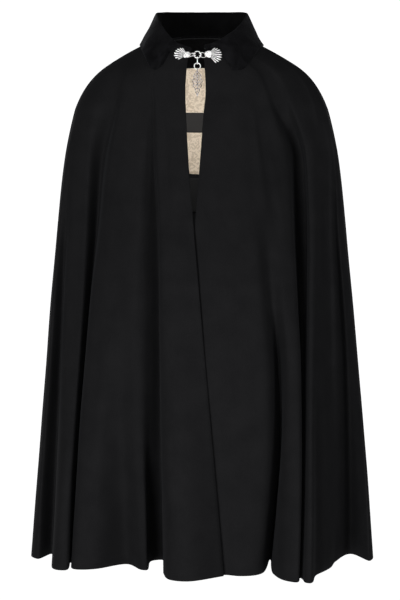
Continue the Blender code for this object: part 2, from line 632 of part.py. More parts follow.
def tube(points, wire, wire_n=8):
    """A solid wire along points, with flat ends."""
    p = [Vector(q) for q in points]
    verts, faces = [], []
    up = Vector((0, 0, 1))
    for i, q in enumerate(p):
        t = (p[min(i + 1, len(p) - 1)] - p[max(i - 1, 0)]).normalized()
        side = t.cross(up)
        if side.length < 0.2:
            side = t.cross(Vector((1, 0, 0)))
        side.normalize()
        other = side.cross(t)
        for j in range(wire_n):
            a = 2 * math.pi * j / wire_n
            verts.append(tuple(q + side * math.cos(a) * wire + other * math.sin(a) * wire))
    n = len(p)
    for i in range(n - 1):
        for j in range(wire_n):
            j2 = (j + 1) % wire_n
            faces.append((i * wire_n + j, i * wire_n + j2, (i + 1) * wire_n + j2, (i + 1) * wire_n + j))
    faces.append(tuple(range(wire_n))[::-1])
    faces.append(tuple((n - 1) * wire_n + j for j in range(wire_n)))
    return verts, faces


def joined(target, tool):
    """Make one solid of two."""
    mod = target.modifiers.new("join", "BOOLEAN")
    mod.operation = "UNION"
    mod.solver = "EXACT"
    mod.object = tool
    cape.objects.unlink(tool)
    cutters.objects.link(tool)
    tool.hide_render = True
    tool.display_type = "WIRE"


H = NECK_ABOVE_HEM
rx, rz, rr, rw = RING
rz -= H
clasp_ring = add("clasp_ring", *torus_points((rx, CLASP_Y, rz), rr, rw, "Y", 24, 8), SILVER)

# the link hangs on the foot of the clasp ring, edge on
ring_foot = rz - rr
link_top = ring_foot + rw + LINK_SIZE[2] + SLACK
link_z = link_top - LINK_SIZE[1]
link_foot = link_z - LINK_SIZE[1]
lv, lf = torus_points((rx, CLASP_Y, link_z), LINK_SIZE[0], LINK_SIZE[2], "X", 20, 8,
                      LINK_SIZE[1] / LINK_SIZE[0])
link = add("link", lv, lf, SILVER, origin=(rx, CLASP_Y, ring_foot))

# the lower ring faces the front and hangs on the foot of the link
low_top = link_foot + LINK_SIZE[2] + LOW_RING[1] + SLACK
low_z = low_top - LOW_RING[0]
lower_ring = add("lower_ring", *torus_points((rx, CLASP_Y, low_z), LOW_RING[0], LOW_RING[1], "Y", 24, 8),
                 SILVER, origin=(rx, CLASP_Y, link_foot))
low_foot = low_z - LOW_RING[0]

# the pendant: an eye edge on, and a leaf-shaped drop below it
eye_top = low_foot + LOW_RING[1] + EYE[1] + SLACK
eye_z = eye_top - EYE[0]
drop_top = eye_z - EYE[0] + 0.2 * MM
DROP = [
    # share of height down, share of half width, share of thickness
    (0.00, 0.10, 0.70), (0.05, 0.30, 0.80), (0.14, 0.66, 0.95), (0.26, 0.92, 1.00),
    (0.36, 1.00, 1.00), (0.48, 0.90, 1.00), (0.60, 0.70, 0.95), (0.74, 0.48, 0.85),
    (0.88, 0.26, 0.70), (0.97, 0.10, 0.50),
]
dv, df = [], []
for t, w, k in DROP:
    hw, th = PENDANT[0] / 2 * w, PENDANT[2] / 2 * k
    z = drop_top - PENDANT[1] * t
    for j in range(10):
        a = 2 * math.pi * j / 10
        dv.append((rx + hw * math.cos(a), CLASP_Y + th * math.sin(a), z))
for i in range(len(DROP) - 1):
    for j in range(10):
        j2 = (j + 1) % 10
        df.append((i * 10 + j, i * 10 + j2, (i + 1) * 10 + j2, (i + 1) * 10 + j))
df.append(tuple(range(10))[::-1])
df.append(tuple((len(DROP) - 1) * 10 + j for j in range(10)))
pendant = add("pendant", dv, df, SILVER, origin=(rx, CLASP_Y, low_foot))
eye = add("cut_pendant_eye", *torus_points((rx, CLASP_Y, eye_z), EYE[0], EYE[1], "X", 16, 8), SILVER)
joined(pendant, eye)

def lies_on(fan):
    """The plane just in front of the cloth and collar behind a fan."""
    ys = []
    for share in (-0.15, 0.15, 0.3, 0.45, 0.6, 0.75, 0.9, 1.02):
        for turn in range(-48, 49, 8):
            a = math.radians(fan[3] + turn)
            r = fan[2] * share
            hit = UNDER_FANS.ray_cast(Vector((fan[0] + r * math.cos(a), -1.0, fan[1] - H + r * math.sin(a))),
                                      Vector((0, 1, 0)))[0]
            if hit is not None and hit.y < 0:
                ys.append(hit.y)
    return min(ys) - 0.7 * MM


UNDER_FANS = surface_of([front_left, front_right, collar])

# the wearer's right fan with an eye that the ring passes through
fr = FAN_RIGHT
fan_back_r = lies_on(fr)
clasp_fan_right = add("clasp_fan_right", *fan_points((fr[0], fr[1] - H), fr[2], fr[3], fr[4], FAN_HALF_ANGLE[0], fan_back_r), SILVER)
eye_r = add("cut_fan_eye", *torus_points((rx - rr - 1.9 * MM, CLASP_Y, rz + 0.2 * MM),
                                        4.2 * MM, 0.8 * MM, "Z", 18, 8), SILVER)
bar_r = add("cut_fan_bar", *tube([(fr[0] + 0.5 * MM, fan_back_r - 3.0 * MM, fr[1] - H - 0.3 * MM),
                                  (rx - rr - 5.9 * MM, CLASP_Y, rz + 0.2 * MM)], 1.1 * MM), SILVER)
joined(clasp_fan_right, bar_r)
joined(clasp_fan_right, eye_r)

# the wearer's left fan with a double wire hook through the ring
fl = FAN_LEFT
fan_back_l = lies_on(fl)
clasp_fan_left = add("clasp_fan_left", *fan_points((fl[0], fl[1] - H), fl[2], fl[3], fl[4], FAN_HALF_ANGLE[1], fan_back_l), SILVER)
hook_z = rz + 0.4 * MM
hw2 = 1.7 * MM
hx = rx + rr
fore, aft = CLASP_Y - 2.1 * MM, CLASP_Y + 2.3 * MM
hook_way = [
    (fl[0] + 0.5 * MM, fan_back_l - 3.0 * MM), (hx + 5.6 * MM, (fan_back_l - 4.0 * MM + fore) / 2), (hx + 1.4 * MM, fore), (hx, fore), (hx - 1.8 * MM, fore + 0.4 * MM),
    (hx - 2.6 * MM, CLASP_Y), (hx - 1.8 * MM, aft - 0.3 * MM), (hx, aft), (hx + 3.2 * MM, aft),
]
hook = add("cut_hook", *tube([(x, y, hook_z + 0.0) for x, y in hook_way], 0.75 * MM), SILVER)
joined(clasp_fan_left, hook)
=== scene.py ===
import math
import bpy
import bmesh
import numpy as np
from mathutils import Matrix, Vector, noise
from mathutils.bvhtree import BVHTree


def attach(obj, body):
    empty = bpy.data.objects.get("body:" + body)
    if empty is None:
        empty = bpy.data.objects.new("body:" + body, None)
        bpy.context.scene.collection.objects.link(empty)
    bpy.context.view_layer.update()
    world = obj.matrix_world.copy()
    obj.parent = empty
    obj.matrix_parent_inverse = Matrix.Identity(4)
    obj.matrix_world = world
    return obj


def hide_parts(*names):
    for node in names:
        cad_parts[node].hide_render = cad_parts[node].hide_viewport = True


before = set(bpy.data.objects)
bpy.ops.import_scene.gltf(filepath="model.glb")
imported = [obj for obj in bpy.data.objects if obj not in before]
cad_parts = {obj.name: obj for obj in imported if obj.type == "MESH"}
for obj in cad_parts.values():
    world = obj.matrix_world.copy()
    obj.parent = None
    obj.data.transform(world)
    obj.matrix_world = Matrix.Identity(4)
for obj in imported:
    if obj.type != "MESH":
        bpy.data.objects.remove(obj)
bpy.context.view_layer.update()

MM = 0.001
H = 0.960                    # the origin above the hem
CLOTH = 1.9 * MM
VELVET = 2.8 * MM
ROUND = 2.2
SEAM_GAP = 0.3 * MM
CHEST_ROW = 5
SIDE_SEAM_Y = 30.0
SUB_ROWS = 5                 # finer rows between two levels
PER_FOLD = 9                 # columns between two fold lines

# ---------------------------------------------------------------- camera
PX = 0.0019                  # metres a pixel covers at the middle of the cape
CAM_D = 2.60
cam_data = bpy.data.cameras.new("camera")
cam = bpy.data.objects.new("camera", cam_data)
bpy.context.scene.collection.objects.link(cam)
cam.location = (-0.0032, -CAM_D, 0.49 - H)
cam.rotation_euler = (math.pi / 2, 0.0, 0.0)
cam_data.sensor_fit = "VERTICAL"
cam_data.sensor_height = 36.0
cam_data.lens = 36.0 / (2.0 * math.tan(math.radians(24.7) / 2.0))
cam_data.clip_end = 60.0
bpy.context.scene.camera = cam

# ---------------------------------------------------------------- tables
LEVELS = [
    # height above the hem: front side back, half width, depth front, back
    (0.945, 0.985, 1.000, 0.0800, 0.1150, 0.0620),
    (0.935, 0.9700, 0.987, 0.1130, 0.1185, 0.0830),
    (0.920, 0.9500, 0.965, 0.1500, 0.1230, 0.1020),
    (0.902, 0.9185, 0.930, 0.1970, 0.1275, 0.1210),
    (0.877, 0.8870, 0.892, 0.2230, 0.1295, 0.1350),
    (0.848, 0.8510, 0.854, 0.2400, 0.1325, 0.1460),
    (0.800, 0.8000, 0.800, 0.2525, 0.1405, 0.1580),
    (0.730, 0.7300, 0.730, 0.2625, 0.1535, 0.1710),
    (0.650, 0.6500, 0.650, 0.2708, 0.1675, 0.1830),
    (0.570, 0.5700, 0.570, 0.2776, 0.1835, 0.1940),
    (0.480, 0.4800, 0.480, 0.2868, 0.1965, 0.2045),
    (0.370, 0.3700, 0.370, 0.2964, 0.2040, 0.2150),
    (0.250, 0.2500, 0.250, 0.3070, 0.2100, 0.2250),
    (0.125, 0.1250, 0.125, 0.3176, 0.2130, 0.2330),
    (0.000, 0.0000, 0.000, 0.3272, 0.2150, 0.2400),
]
# The fold lines of the two fronts. "across" is where a line shows in the view
# from the camera, at the heights above; "deep" is how far it lies from the
# middle plane, in mm, minus is forward. Then the line at the chest (mm across),
# how much it dips there, how slowly the dip dies out above, and its place at
# the neck.
FOLD_HEIGHTS = (0.000, 0.120, 0.250, 0.370, 0.500, 0.620, 0.750)
FRONT_LEFT_FOLDS = [
    ("e_under", (191.5, 191.6, 191.5, 191.8, 192.6, 195.0, 200.6),
                (-203, -198, -195, -192, -189, -170, -147),    5, 0, 3,    5),
    ("under_1", (208.4, 208.1, 206.8, 204.5, 200.0, 202.0, 206.2),
                (-179, -181, -185, -189, -190, -171, -149),   14, 0, 3,   10),
    ("under_2", (224.2, 221.4, 218.1, 214.0, 209.1, 209.5, 211.7),
                (-158, -169, -181, -190, -195, -175, -150),   24, 0, 3,   15),
    ("c_panel", (238.8, 235.0, 230.0, 227.5, 224.5, 222.5, 221.8),
                (-168, -176, -185, -192, -197, -175, -149),   40, 0, 3,   21),
    ("c_hip",   (253.5, 254.0, 253.0, 251.0, 245.0, 242.0, 241.0),
                (-163, -176, -184, -190, -194, -173, -147),   66, 0, 3,   28),
    ("d_left",   (262.0, 265.5, 268.5, 266.5, 260.0, 254.5, 252.0),
                (-143, -166, -179, -187, -190, -168, -142), 84, 0, 3,   32),
    ("d_floor",  (270.0, 276.2, 281.0, 278.5, 272.0, 265.5, 258.5),
                (-14, -62, -96, -114, -154, -156, -140), 91, 0, 3, 33.5),
    ("f_lip",    (273.2, 279.4, 283.8, 286.8, 282.6, 275.6, 264.0),
                (-148, -172, -174, -168, -162, -146, -132), 98, 0, 3,   35),
    ("f_face",   (284.0, 287.8, 290.6, 292.4, 289.6, 284.6, 273.0),
                (-205, -197, -186, -173, -158, -141, -125), 108, 0, 3,   37),
    ("f_right",  (297.0, 299.0, 299.4, 299.0, 295.8, 291.6, 286.0),
                (-221, -204, -186, -167, -147, -128, -112), 121, 0, 3,   39),
    ("r_floor",  (299.8, 301.2, 301.8, 301.6, 299.2, 296.6, 295.8),
                (-184, -152, -124, -102, -78, -60, -52), 131, 6, 1.0, 43),
    ("r_end",    (302.6, 303.8, 304.2, 304.6, 305.0, 305.6, 302.6),
                (-200, -166, -134, -110, -76, -52, -46), 150, 7, 1.3, 50),
    ("g_left",   (305.4, 307.4, 308.2, 308.6, 308.8, 309.2, 306.2),
                (-224, -198, -170, -144, -118, -98, -88), 163, 0, 3,   56),
    ("g_face",   (310.6, 311.4, 311.4, 312.0, 312.6, 313.4, 311.6),
                (-228, -200, -172, -145, -119, -98, -86), 176, 0, 3,   61),
    ("h_in",    (315.8, 316.2, 316.6, 318.0, 319.0, 320.0, 319.5),
                (-162, -150, -136, -117,  -96,  -78,  -68),  199, 3, 2,   69),
    ("h_face",  (324.5, 324.5, 324.5, 323.5, 323.5, 324.0, 323.5),
                (-124, -120, -107,  -90,  -74,  -58,  -58),  207, 0, 3, 71.5),
    ("h_dip",   (330.5, 331.0, 331.0, 330.5, 330.0, 328.5, 328.0),
                ( -92,  -82,  -70,  -57,  -49,  -47,  -49),  213, 0, 3, 73.2),
    ("i_ridge",  (335.6, 336.8, 336.8, 336.4, 334.6, 331.8, 331.0),
                (-34, -46, -50, -48, -44, -43, -46), 219, 0, 3, 74.8),
    ("v_side",   (350.5, 350.5, 349.5, 347.5, 343.4, 338.4, 334.5),
                (44, 34, 22, 10, -4, -22, -42), 224, 0, 3, 76.3),
    ("c_last",   (369.0, 366.6, 361.8, 356.6, 350.2, 343.8, 336.8),
                (-26, -30, -34, -38, -46, -48, -46), 230, 0, 3, 78.3),
]
FRONT_RIGHT_FOLDS = [
    ("c_last",   (38.6, 41.2, 46.0, 50.4, 54.6, 60.0, 66.4),
                (-6, -12, -18, -27, -36, -38, -38), -233, 0, 3, -79.2),
    ("v_side",   (51.6, 54.8, 57.9, 60.4, 63.0, 65.6, 70.5),
                (46, 36, 22, 8, -12, -34, -46), -226, 0, 3, -78),
    ("b_lip",    (53.0, 56.4, 59.6, 62.4, 65.8, 69.8, 74.0),
                (-100, -86, -70, -60, -52, -52, -54), -221, 0, 3, -77),
    ("b_face",   (59.6, 63.4, 68.6, 73.6, 77.2, 79.0, 82.0),
                (-114, -105, -92, -80, -71, -68, -67), -212, 0, 3, -75.5),
    ("b_right",  (66.6, 69.2, 74.2, 78.8, 83.4, 86.6, 89.5),
                (-113, -104, -93, -84, -77, -75, -75), -194, 0, 3, -72),
    ("v_main",   (71.0, 75.2, 79.4, 84.8, 90.6, 96.8, 102.2),
                (-42, -32, -27, -28, -29, -34, -54), -157, 9, 1.1, -66),
    ("c_lip",    (72.6, 76.8, 81.0, 86.2, 92.4, 100.8, 109.0),
                (-102, -106, -107, -106, -104, -102, -106), -146, 0, 3, -63),
    ("c_face",  ( 81.5,  86.0,  91.0,  96.0, 101.0, 108.0, 116.0),
                (-110, -118, -124, -126, -124, -121, -119), -132, 0, 3, -60),
    ("c_front", ( 96.5,  98.5, 101.0, 107.0, 113.0, 118.0, 123.0),
                (-103, -119, -130, -138, -140, -135, -128), -121, 0, 3, -57),
    ("v_wide",  (127.0, 124.0, 121.0, 122.0, 125.0, 128.0, 131.0),
                ( -58,  -90, -118, -141, -155, -147, -133), -111, 0, 3, -54),
    ("c_wide",  (141.0, 139.0, 135.0, 134.0, 135.5, 137.5, 140.0),
                (-112, -124, -139, -154, -162, -154, -138), -101, 0, 3, -51),
    ("c_edge",  (146.8, 145.2, 142.5, 141.5, 141.5, 142.0, 145.0),
                (-115, -126, -140, -153, -158, -152, -138),  -95, 0, 3, -48.5),
    ("v_slope", (152.0, 151.6, 151.0, 151.0, 150.5, 150.0, 149.5),
                ( -26,  -62, -118, -136, -143, -138, -132),  -91, 0, 3, -46.8),
    ("v_crisp", (162.0, 161.4, 160.8, 160.0, 159.4, 158.2, 154.2),
                ( -16,  -44,  -92, -114, -126, -126, -127),  -87, 2, 2, -45),
    ("d_lip",   (163.4, 162.8, 162.0, 161.2, 160.8, 160.2, 157.0),
                (-150, -170, -178, -180, -181, -165, -140),  -83, 0, 3, -43.5),
    ("d_face",  (170.0, 170.5, 170.5, 170.0, 169.5, 169.0, 167.0),
                (-202, -202, -200, -196, -192, -173, -144),  -71, 0, 3, -39),
    ("c_panel", (188.0, 185.6, 182.5, 181.2, 180.0, 177.8, 172.0),
                (-214, -210, -207, -202, -198, -177, -149),  -50, 0, 3, -32),
    ("e_over",  (223.6, 217.8, 211.3, 205.2, 198.8, 193.2, 187.8),
                (-168, -178, -190, -195, -199, -178, -150),  -30, 0, 3, -23),
]


def across(column, deep):
    """mm from the middle for a line that shows at this column of the view."""
    return (column - 201.7) * PX * 1000.0 * (CAM_D + deep * MM) / CAM_D


BACK_FOLDS = [
    ("v1",      0.90,   34, 0.60), ("c1",      0.80,   -6, 0.64),
    ("v2",      0.69,   48, 0.72), ("c2",      0.58,   -8, 0.74),
    ("v3",      0.44,   56, 0.78), ("c3",      0.29,   -9, 0.72),
    ("v4",      0.13,   40, 0.62), ("c4",     -0.03,   -7, 0.62),
    ("v5",     -0.18,   52, 0.74), ("c5",     -0.34,   -9, 0.74),
    ("v6",     -0.49,   60, 0.80), ("c6",     -0.62,   -7, 0.74),
    ("v7",     -0.74,   42, 0.66), ("c7",     -0.86,   -5, 0.62),
]
# The collar from the wearer's right front end, at -1, round the neck to the
# left one, at 1: the roll line on top, and the free edge of the leaf, which
# narrows to the bare stand at both front ends.
COLLAR_ROLL = [
    # at      x        y        z       belly
    (-1.000, -0.0200, -0.1235, 0.9455, 0.5), (-0.960, -0.0350, -0.1210, 0.9510, 0.8),
    (-0.930, -0.0450, -0.1165, 0.9555, 2.5), (-0.860, -0.0565, -0.1080, 0.9665, 4.0),
    (-0.740, -0.0705, -0.0800, 0.9880, 4.0), (-0.600, -0.0820, -0.0400, 1.0165, 3.5),
    (-0.450, -0.0850,  0.0050, 1.0340, 3.0), (-0.250, -0.0620,  0.0530, 1.0460, 3.0),
    ( 0.000,  0.0000,  0.0740, 1.0500, 3.0), ( 0.250,  0.0620,  0.0530, 1.0460, 3.0),
    ( 0.450,  0.0850,  0.0050, 1.0340, 3.0), ( 0.600,  0.0790, -0.0400, 1.0120, 3.5),
    ( 0.740,  0.0595, -0.0860, 0.9835, 4.0), ( 0.860,  0.0415, -0.1100, 0.9675, 4.0),
    ( 0.930,  0.0270, -0.1180, 0.9570, 2.5), ( 0.960,  0.0190, -0.1210, 0.9540, 0.8),
    ( 1.000,  0.0055, -0.1235, 0.9500, 0.5),
]
COLLAR_EDGE = [
    # at      x        z       y where the leaf lies on the shoulder
    (-1.000, -0.0235, 0.9395, None), (-0.975, -0.0360, 0.9440, None), (-0.955, -0.0470, 0.9470, None),
    (-0.940, -0.0560, 0.9430, None), (-0.920, -0.0640, 0.9310, None), (-0.900, -0.0735, 0.9120, None),
    (-0.880, -0.0825, 0.9070, None), (-0.840, -0.0940, 0.9150, None), (-0.790, -0.1012, 0.9300, None),
    (-0.720, -0.1089, 0.9495, None), (-0.600, -0.1150, 0.9690, None), (-0.450, -0.1120, None, 0.030),
    (-0.250, -0.0780, None, 0.079), (0.000, 0.0000, None, 0.103), (0.250, 0.0780, None, 0.079),
    ( 0.450,  0.1120, None, 0.030), ( 0.600,  0.1150, 0.9690, None), ( 0.720,  0.1000, 0.9440, None),
    ( 0.800,  0.0865, 0.9230, None), ( 0.850,  0.0725, 0.9065, None), ( 0.885,  0.0575, 0.9050, None),
    ( 0.910,  0.0478, 0.9180, None), ( 0.930,  0.0405, 0.9290, None), ( 0.950,  0.0300, 0.9420, None),
    ( 0.970,  0.0190, 0.9475, None), ( 1.000,  0.0085, 0.9400, None),
]

# ---------------------------------------------------------------- curves
def slopes(xs, ys):
    n = len(xs)
    h = np.diff(xs)
    d = (np.diff(ys, axis=0).T / h).T
    m = np.zeros_like(ys)
    m[0], m[-1] = d[0], d[-1]
    for i in range(1, n - 1):
        same = d[i - 1] * d[i] > 0
        w1, w2 = 2 * h[i] + h[i - 1], h[i] + 2 * h[i - 1]
        with np.errstate(divide="ignore", invalid="ignore"):
            mean = (w1 + w2) / (w1 / d[i - 1] + w2 / d[i])
        m[i] = np.where(same, mean, 0.0)
    return m


def through(xs, ys, x):
    xs = np.asarray(xs, float)
    ys = np.asarray(ys, float)
    m = slopes(xs, ys)
    x = min(max(x, xs[0]), xs[-1])
    i = min(int(np.searchsorted(xs, x, side="right")) - 1, len(xs) - 2)
    h = xs[i + 1] - xs[i]
    t = (x - xs[i]) / h
    return ((2 * t**3 - 3 * t**2 + 1) * ys[i] + (t**3 - 2 * t**2 + t) * h * m[i]
            + (-2 * t**3 + 3 * t**2) * ys[i + 1] + (t**3 - t**2) * h * m[i + 1])


def smooth_run(points, per):
    p = [np.asarray(q, float) for q in points]
    p = [2 * p[0] - p[1]] + p + [2 * p[-1] - p[-2]]
    out = []
    for i in range(1, len(p) - 2):
        a, b, c, d = p[i - 1], p[i], p[i + 1], p[i + 2]
        t0 = 0.0
        t1 = t0 + max(np.linalg.norm(b - a), 1e-9) ** 0.5
        t2 = t1 + max(np.linalg.norm(c - b), 1e-9) ** 0.5
        t3 = t2 + max(np.linalg.norm(d - c), 1e-9) ** 0.5
        for k in range(per):
            t = t1 + (t2 - t1) * k / per
            a1 = (t1 - t) / (t1 - t0) * a + (t - t0) / (t1 - t0) * b
            a2 = (t2 - t) / (t2 - t1) * b + (t - t1) / (t2 - t1) * c
            a3 = (t3 - t) / (t3 - t2) * c + (t - t2) / (t3 - t2) * d
            b1 = (t2 - t) / (t2 - t0) * a1 + (t - t0) / (t2 - t0) * a2
            b2 = (t3 - t) / (t3 - t1) * a2 + (t - t1) / (t3 - t1) * a3
            out.append((t2 - t) / (t2 - t1) * b1 + (t - t1) / (t2 - t1) * b2)
    out.append(p[-2])
    return out


def rim(share, depth):
    s = min(abs(share), 1.0)
    return depth * max(1.0 - s ** ROUND, 0.0) ** (1.0 / ROUND)


_at = list(range(len(LEVELS)))


def level(v):
    return through(_at, [list(r) for r in LEVELS], v)


def front_knots(rows, v):
    zf, zs, zb, a, bf, bb = level(v)
    chest = LEVELS[CHEST_ROW]
    out = []
    for name, columns, deeps, x_chest, dip, fade, x_neck in rows:
        if v >= CHEST_ROW:
            y_chest = -rim(x_chest * MM / chest[3], chest[4]) / MM + dip
            pts = [[across(c, d), d] for c, d in zip(columns, deeps)] + [[x_chest, y_chest]]
            q = through(list(FOLD_HEIGHTS) + [chest[1]], pts, zf)
            out.append((q[0] * MM, q[1] * MM))
        else:
            k = v / CHEST_ROW
            s0, s1 = x_neck * MM / LEVELS[0][3], x_chest * MM / chest[3]
            s = s0 + (s1 - s0) * k
            if name.startswith("e_") or name.startswith("under"):
                x = (x_neck + (x_chest - x_neck) * min(k * 1.25, 1.0)) * MM
                s = x / a
            out.append((s * a, -rim(s, bf) + dip * MM * k ** fade))
    return out


def back_knots(v):
    zf, zs, zb, a, bf, bb = level(v)
    out = []
    for _, share, depth, ends in BACK_FOLDS:
        grow = max(1.0 - zb / ends, 0.0) ** 0.9
        s = share * (1.0 - 0.04 * (1.0 - grow))
        y = rim(s, bb) - depth * MM * grow
        out.append((s * a, y))
    return out


def side_y(v):
    return SIDE_SEAM_Y * MM * min(0.12 + 0.88 * v / 9.0, 1.0)


def cloth_grid():
    grid = []
    n = (len(LEVELS) - 1) * SUB_ROWS
    s1 = s2 = 0
    for i in range(n + 1):
        v = i / SUB_ROWS
        zf, zs, zb, a, bf, bb = level(v)
        left = front_knots(FRONT_LEFT_FOLDS, v)
        right = front_knots(FRONT_RIGHT_FOLDS, v)
        back = back_knots(v)
        knots = left + [(a, side_y(v))] + back + [(-a, side_y(v))] + right
        pts = smooth_run(knots, PER_FOLD)
        s1, s2 = len(left) * PER_FOLD, (len(left) + 1 + len(back)) * PER_FOLD
        row = []
        for x, y in pts:
            c = min(abs(y) / (bf if y < 0 else bb), 1.0) ** 2
            row.append((x, y, zs + ((zf if y < 0 else zb) - zs) * c - H))
        grid.append(row)
    return np.array(grid), s1, s2


def normals(grid):
    du = np.gradient(grid, axis=1)
    dv = np.gradient(grid, axis=0)
    n = np.cross(dv, du)
    return n / np.maximum(np.linalg.norm(n, axis=2, keepdims=True), 1e-12)


# ---------------------------------------------------------------- mesh help
def new_object(name, verts, faces, body="cape", smooth=True):
    mesh = bpy.data.meshes.new(name)
    mesh.from_pydata([tuple(v) for v in verts], [], faces)
    bm = bmesh.new()
    bm.from_mesh(mesh)
    bmesh.ops.recalc_face_normals(bm, faces=bm.faces)
    bm.to_mesh(mesh)
    bm.free()
    mesh.shade_smooth() if smooth else mesh.shade_flat()
    obj = bpy.data.objects.new(name, mesh)
    bpy.context.scene.collection.objects.link(obj)
    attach(obj, body)
    return obj


def uv_from_grid(obj, rows, cols, across, down):
    """UVs in metres of cloth, for the weave: both sides share them."""
    mesh = obj.data
    layer = mesh.uv_layers.new(name="cloth")
    m = rows * cols
    for loop in mesh.loops:
        i = loop.vertex_index % m if loop.vertex_index < 2 * m else 0
        layer.data[loop.index].uv = (across[i // cols][i % cols], down[i // cols][i % cols])


def wall(name, outer, inner, body="cape", soft_rim=0.0):
    rows, cols = outer.shape[:2]
    m = rows * cols
    verts = [tuple(v) for v in outer.reshape(-1, 3)] + [tuple(v) for v in inner.reshape(-1, 3)]
    at = lambda r, c, k: k * m + r * cols + c
    faces = []
    for r in range(rows - 1):
        for c in range(cols - 1):
            faces.append((at(r, c, 0), at(r + 1, c, 0), at(r + 1, c + 1, 0), at(r, c + 1, 0)))
            faces.append((at(r, c, 1), at(r, c + 1, 1), at(r + 1, c + 1, 1), at(r + 1, c, 1)))
    # a rounded edge: one more loop half way through the wall, a little out
    loop = ([(0, c) for c in range(cols)] + [(r, cols - 1) for r in range(1, rows)]
            + [(rows - 1, c) for c in range(cols - 2, -1, -1)] + [(r, 0) for r in range(rows - 2, 0, -1)])
    n = len(loop)
    base = 2 * m
    for i, (r, c) in enumerate(loop):
        mid = (outer[r, c] + inner[r, c]) / 2
        rr, cc = min(max(r, 1), rows - 2), min(max(c, 1), cols - 2)
        away = mid - (outer[rr, cc] + inner[rr, cc]) / 2
        away = away / max(np.linalg.norm(away), 1e-9)
        verts.append(tuple(mid + away * soft_rim))
    for i in range(n):
        j = (i + 1) % n
        (r1, c1), (r2, c2) = loop[i], loop[j]
        faces.append((at(r1, c1, 0), at(r2, c2, 0), base + j, base + i))
        faces.append((base + i, base + j, at(r2, c2, 1), at(r1, c1, 1)))
    obj = new_object(name, verts, faces, body)
    mids = (outer + inner) / 2
    across = np.concatenate([np.zeros((rows, 1)), np.cumsum(np.linalg.norm(np.diff(mids, axis=1), axis=2), axis=1)], axis=1)
    down = np.concatenate([np.zeros((1, cols)), np.cumsum(np.linalg.norm(np.diff(mids, axis=0), axis=2), axis=0)], axis=0)
    uv_from_grid(obj, rows, cols, across, down)
    return obj


# ---------------------------------------------------------------- materials
def principled(name, colour, rough):
    m = bpy.data.materials.new(name)
    m.use_nodes = True
    b = m.node_tree.nodes["Principled BSDF"]
    b.inputs["Base Color"].default_value = (*colour, 1.0)
    b.inputs["Diffuse Roughness"].default_value = 0.05
    b.inputs["Roughness"].default_value = rough
    return m, m.node_tree, b


def node(tree, kind, **values):
    n = tree.nodes.new(kind)
    for k, v in values.items():
        setattr(n, k, v)
    return n


def ramp(tree, source, stops):
    r = node(tree, "ShaderNodeValToRGB")
    e = r.color_ramp.elements
    while len(e) < len(stops):
        e.new(0.5)
    for i, (p, c) in enumerate(stops):
        e[i].position = p
        e[i].color = (*c, 1.0)
    tree.links.new(source, r.inputs["Fac"])
    return r


def wool_material(name, low=(0.0080, 0.0081, 0.0087), high=(0.0140, 0.0139, 0.0147)):
    """Felted wool: a short uneven nap with fine fibres running down."""
    m, t, b = principled(name, high, 0.92)
    co = node(t, "ShaderNodeTexCoord")
    stretch = node(t, "ShaderNodeMapping")
    stretch.inputs["Scale"].default_value = (900.0, 900.0, 260.0)
    t.links.new(co.outputs["Object"], stretch.inputs["Vector"])
    fibre = node(t, "ShaderNodeTexNoise")
    fibre.inputs["Scale"].default_value = 1.0
    fibre.inputs["Detail"].default_value = 4.0
    fibre.inputs["Roughness"].default_value = 0.65
    t.links.new(stretch.outputs["Vector"], fibre.inputs["Vector"])
    cloud = node(t, "ShaderNodeTexNoise")
    cloud.inputs["Scale"].default_value = 26.0
    cloud.inputs["Detail"].default_value = 3.0
    t.links.new(co.outputs["Object"], cloud.inputs["Vector"])
    mix = node(t, "ShaderNodeMath", operation="MULTIPLY_ADD")
    t.links.new(cloud.outputs["Fac"], mix.inputs[0])
    mix.inputs[1].default_value = 0.35
    add_ = node(t, "ShaderNodeMath", operation="MULTIPLY")
    t.links.new(fibre.outputs["Fac"], add_.inputs[0])
    add_.inputs[1].default_value = 0.65
    t.links.new(add_.outputs[0], mix.inputs[2])
    r = ramp(t, mix.outputs[0], [(0.32, low), (0.68, high)])
    t.links.new(r.outputs["Color"], b.inputs["Base Color"])
    b.inputs["Sheen Weight"].default_value = 0.01
    b.inputs["Sheen Roughness"].default_value = 0.5
    b.inputs["Sheen Tint"].default_value = (0.75, 0.78, 0.85, 1.0)
    b.inputs["Specular IOR Level"].default_value = 0.03
    bump = node(t, "ShaderNodeBump")
    bump.inputs["Strength"].default_value = 0.35
    bump.inputs["Distance"].default_value = 0.0006
    t.links.new(mix.outputs[0], bump.inputs["Height"])
    t.links.new(bump.outputs["Normal"], b.inputs["Normal"])
    return m


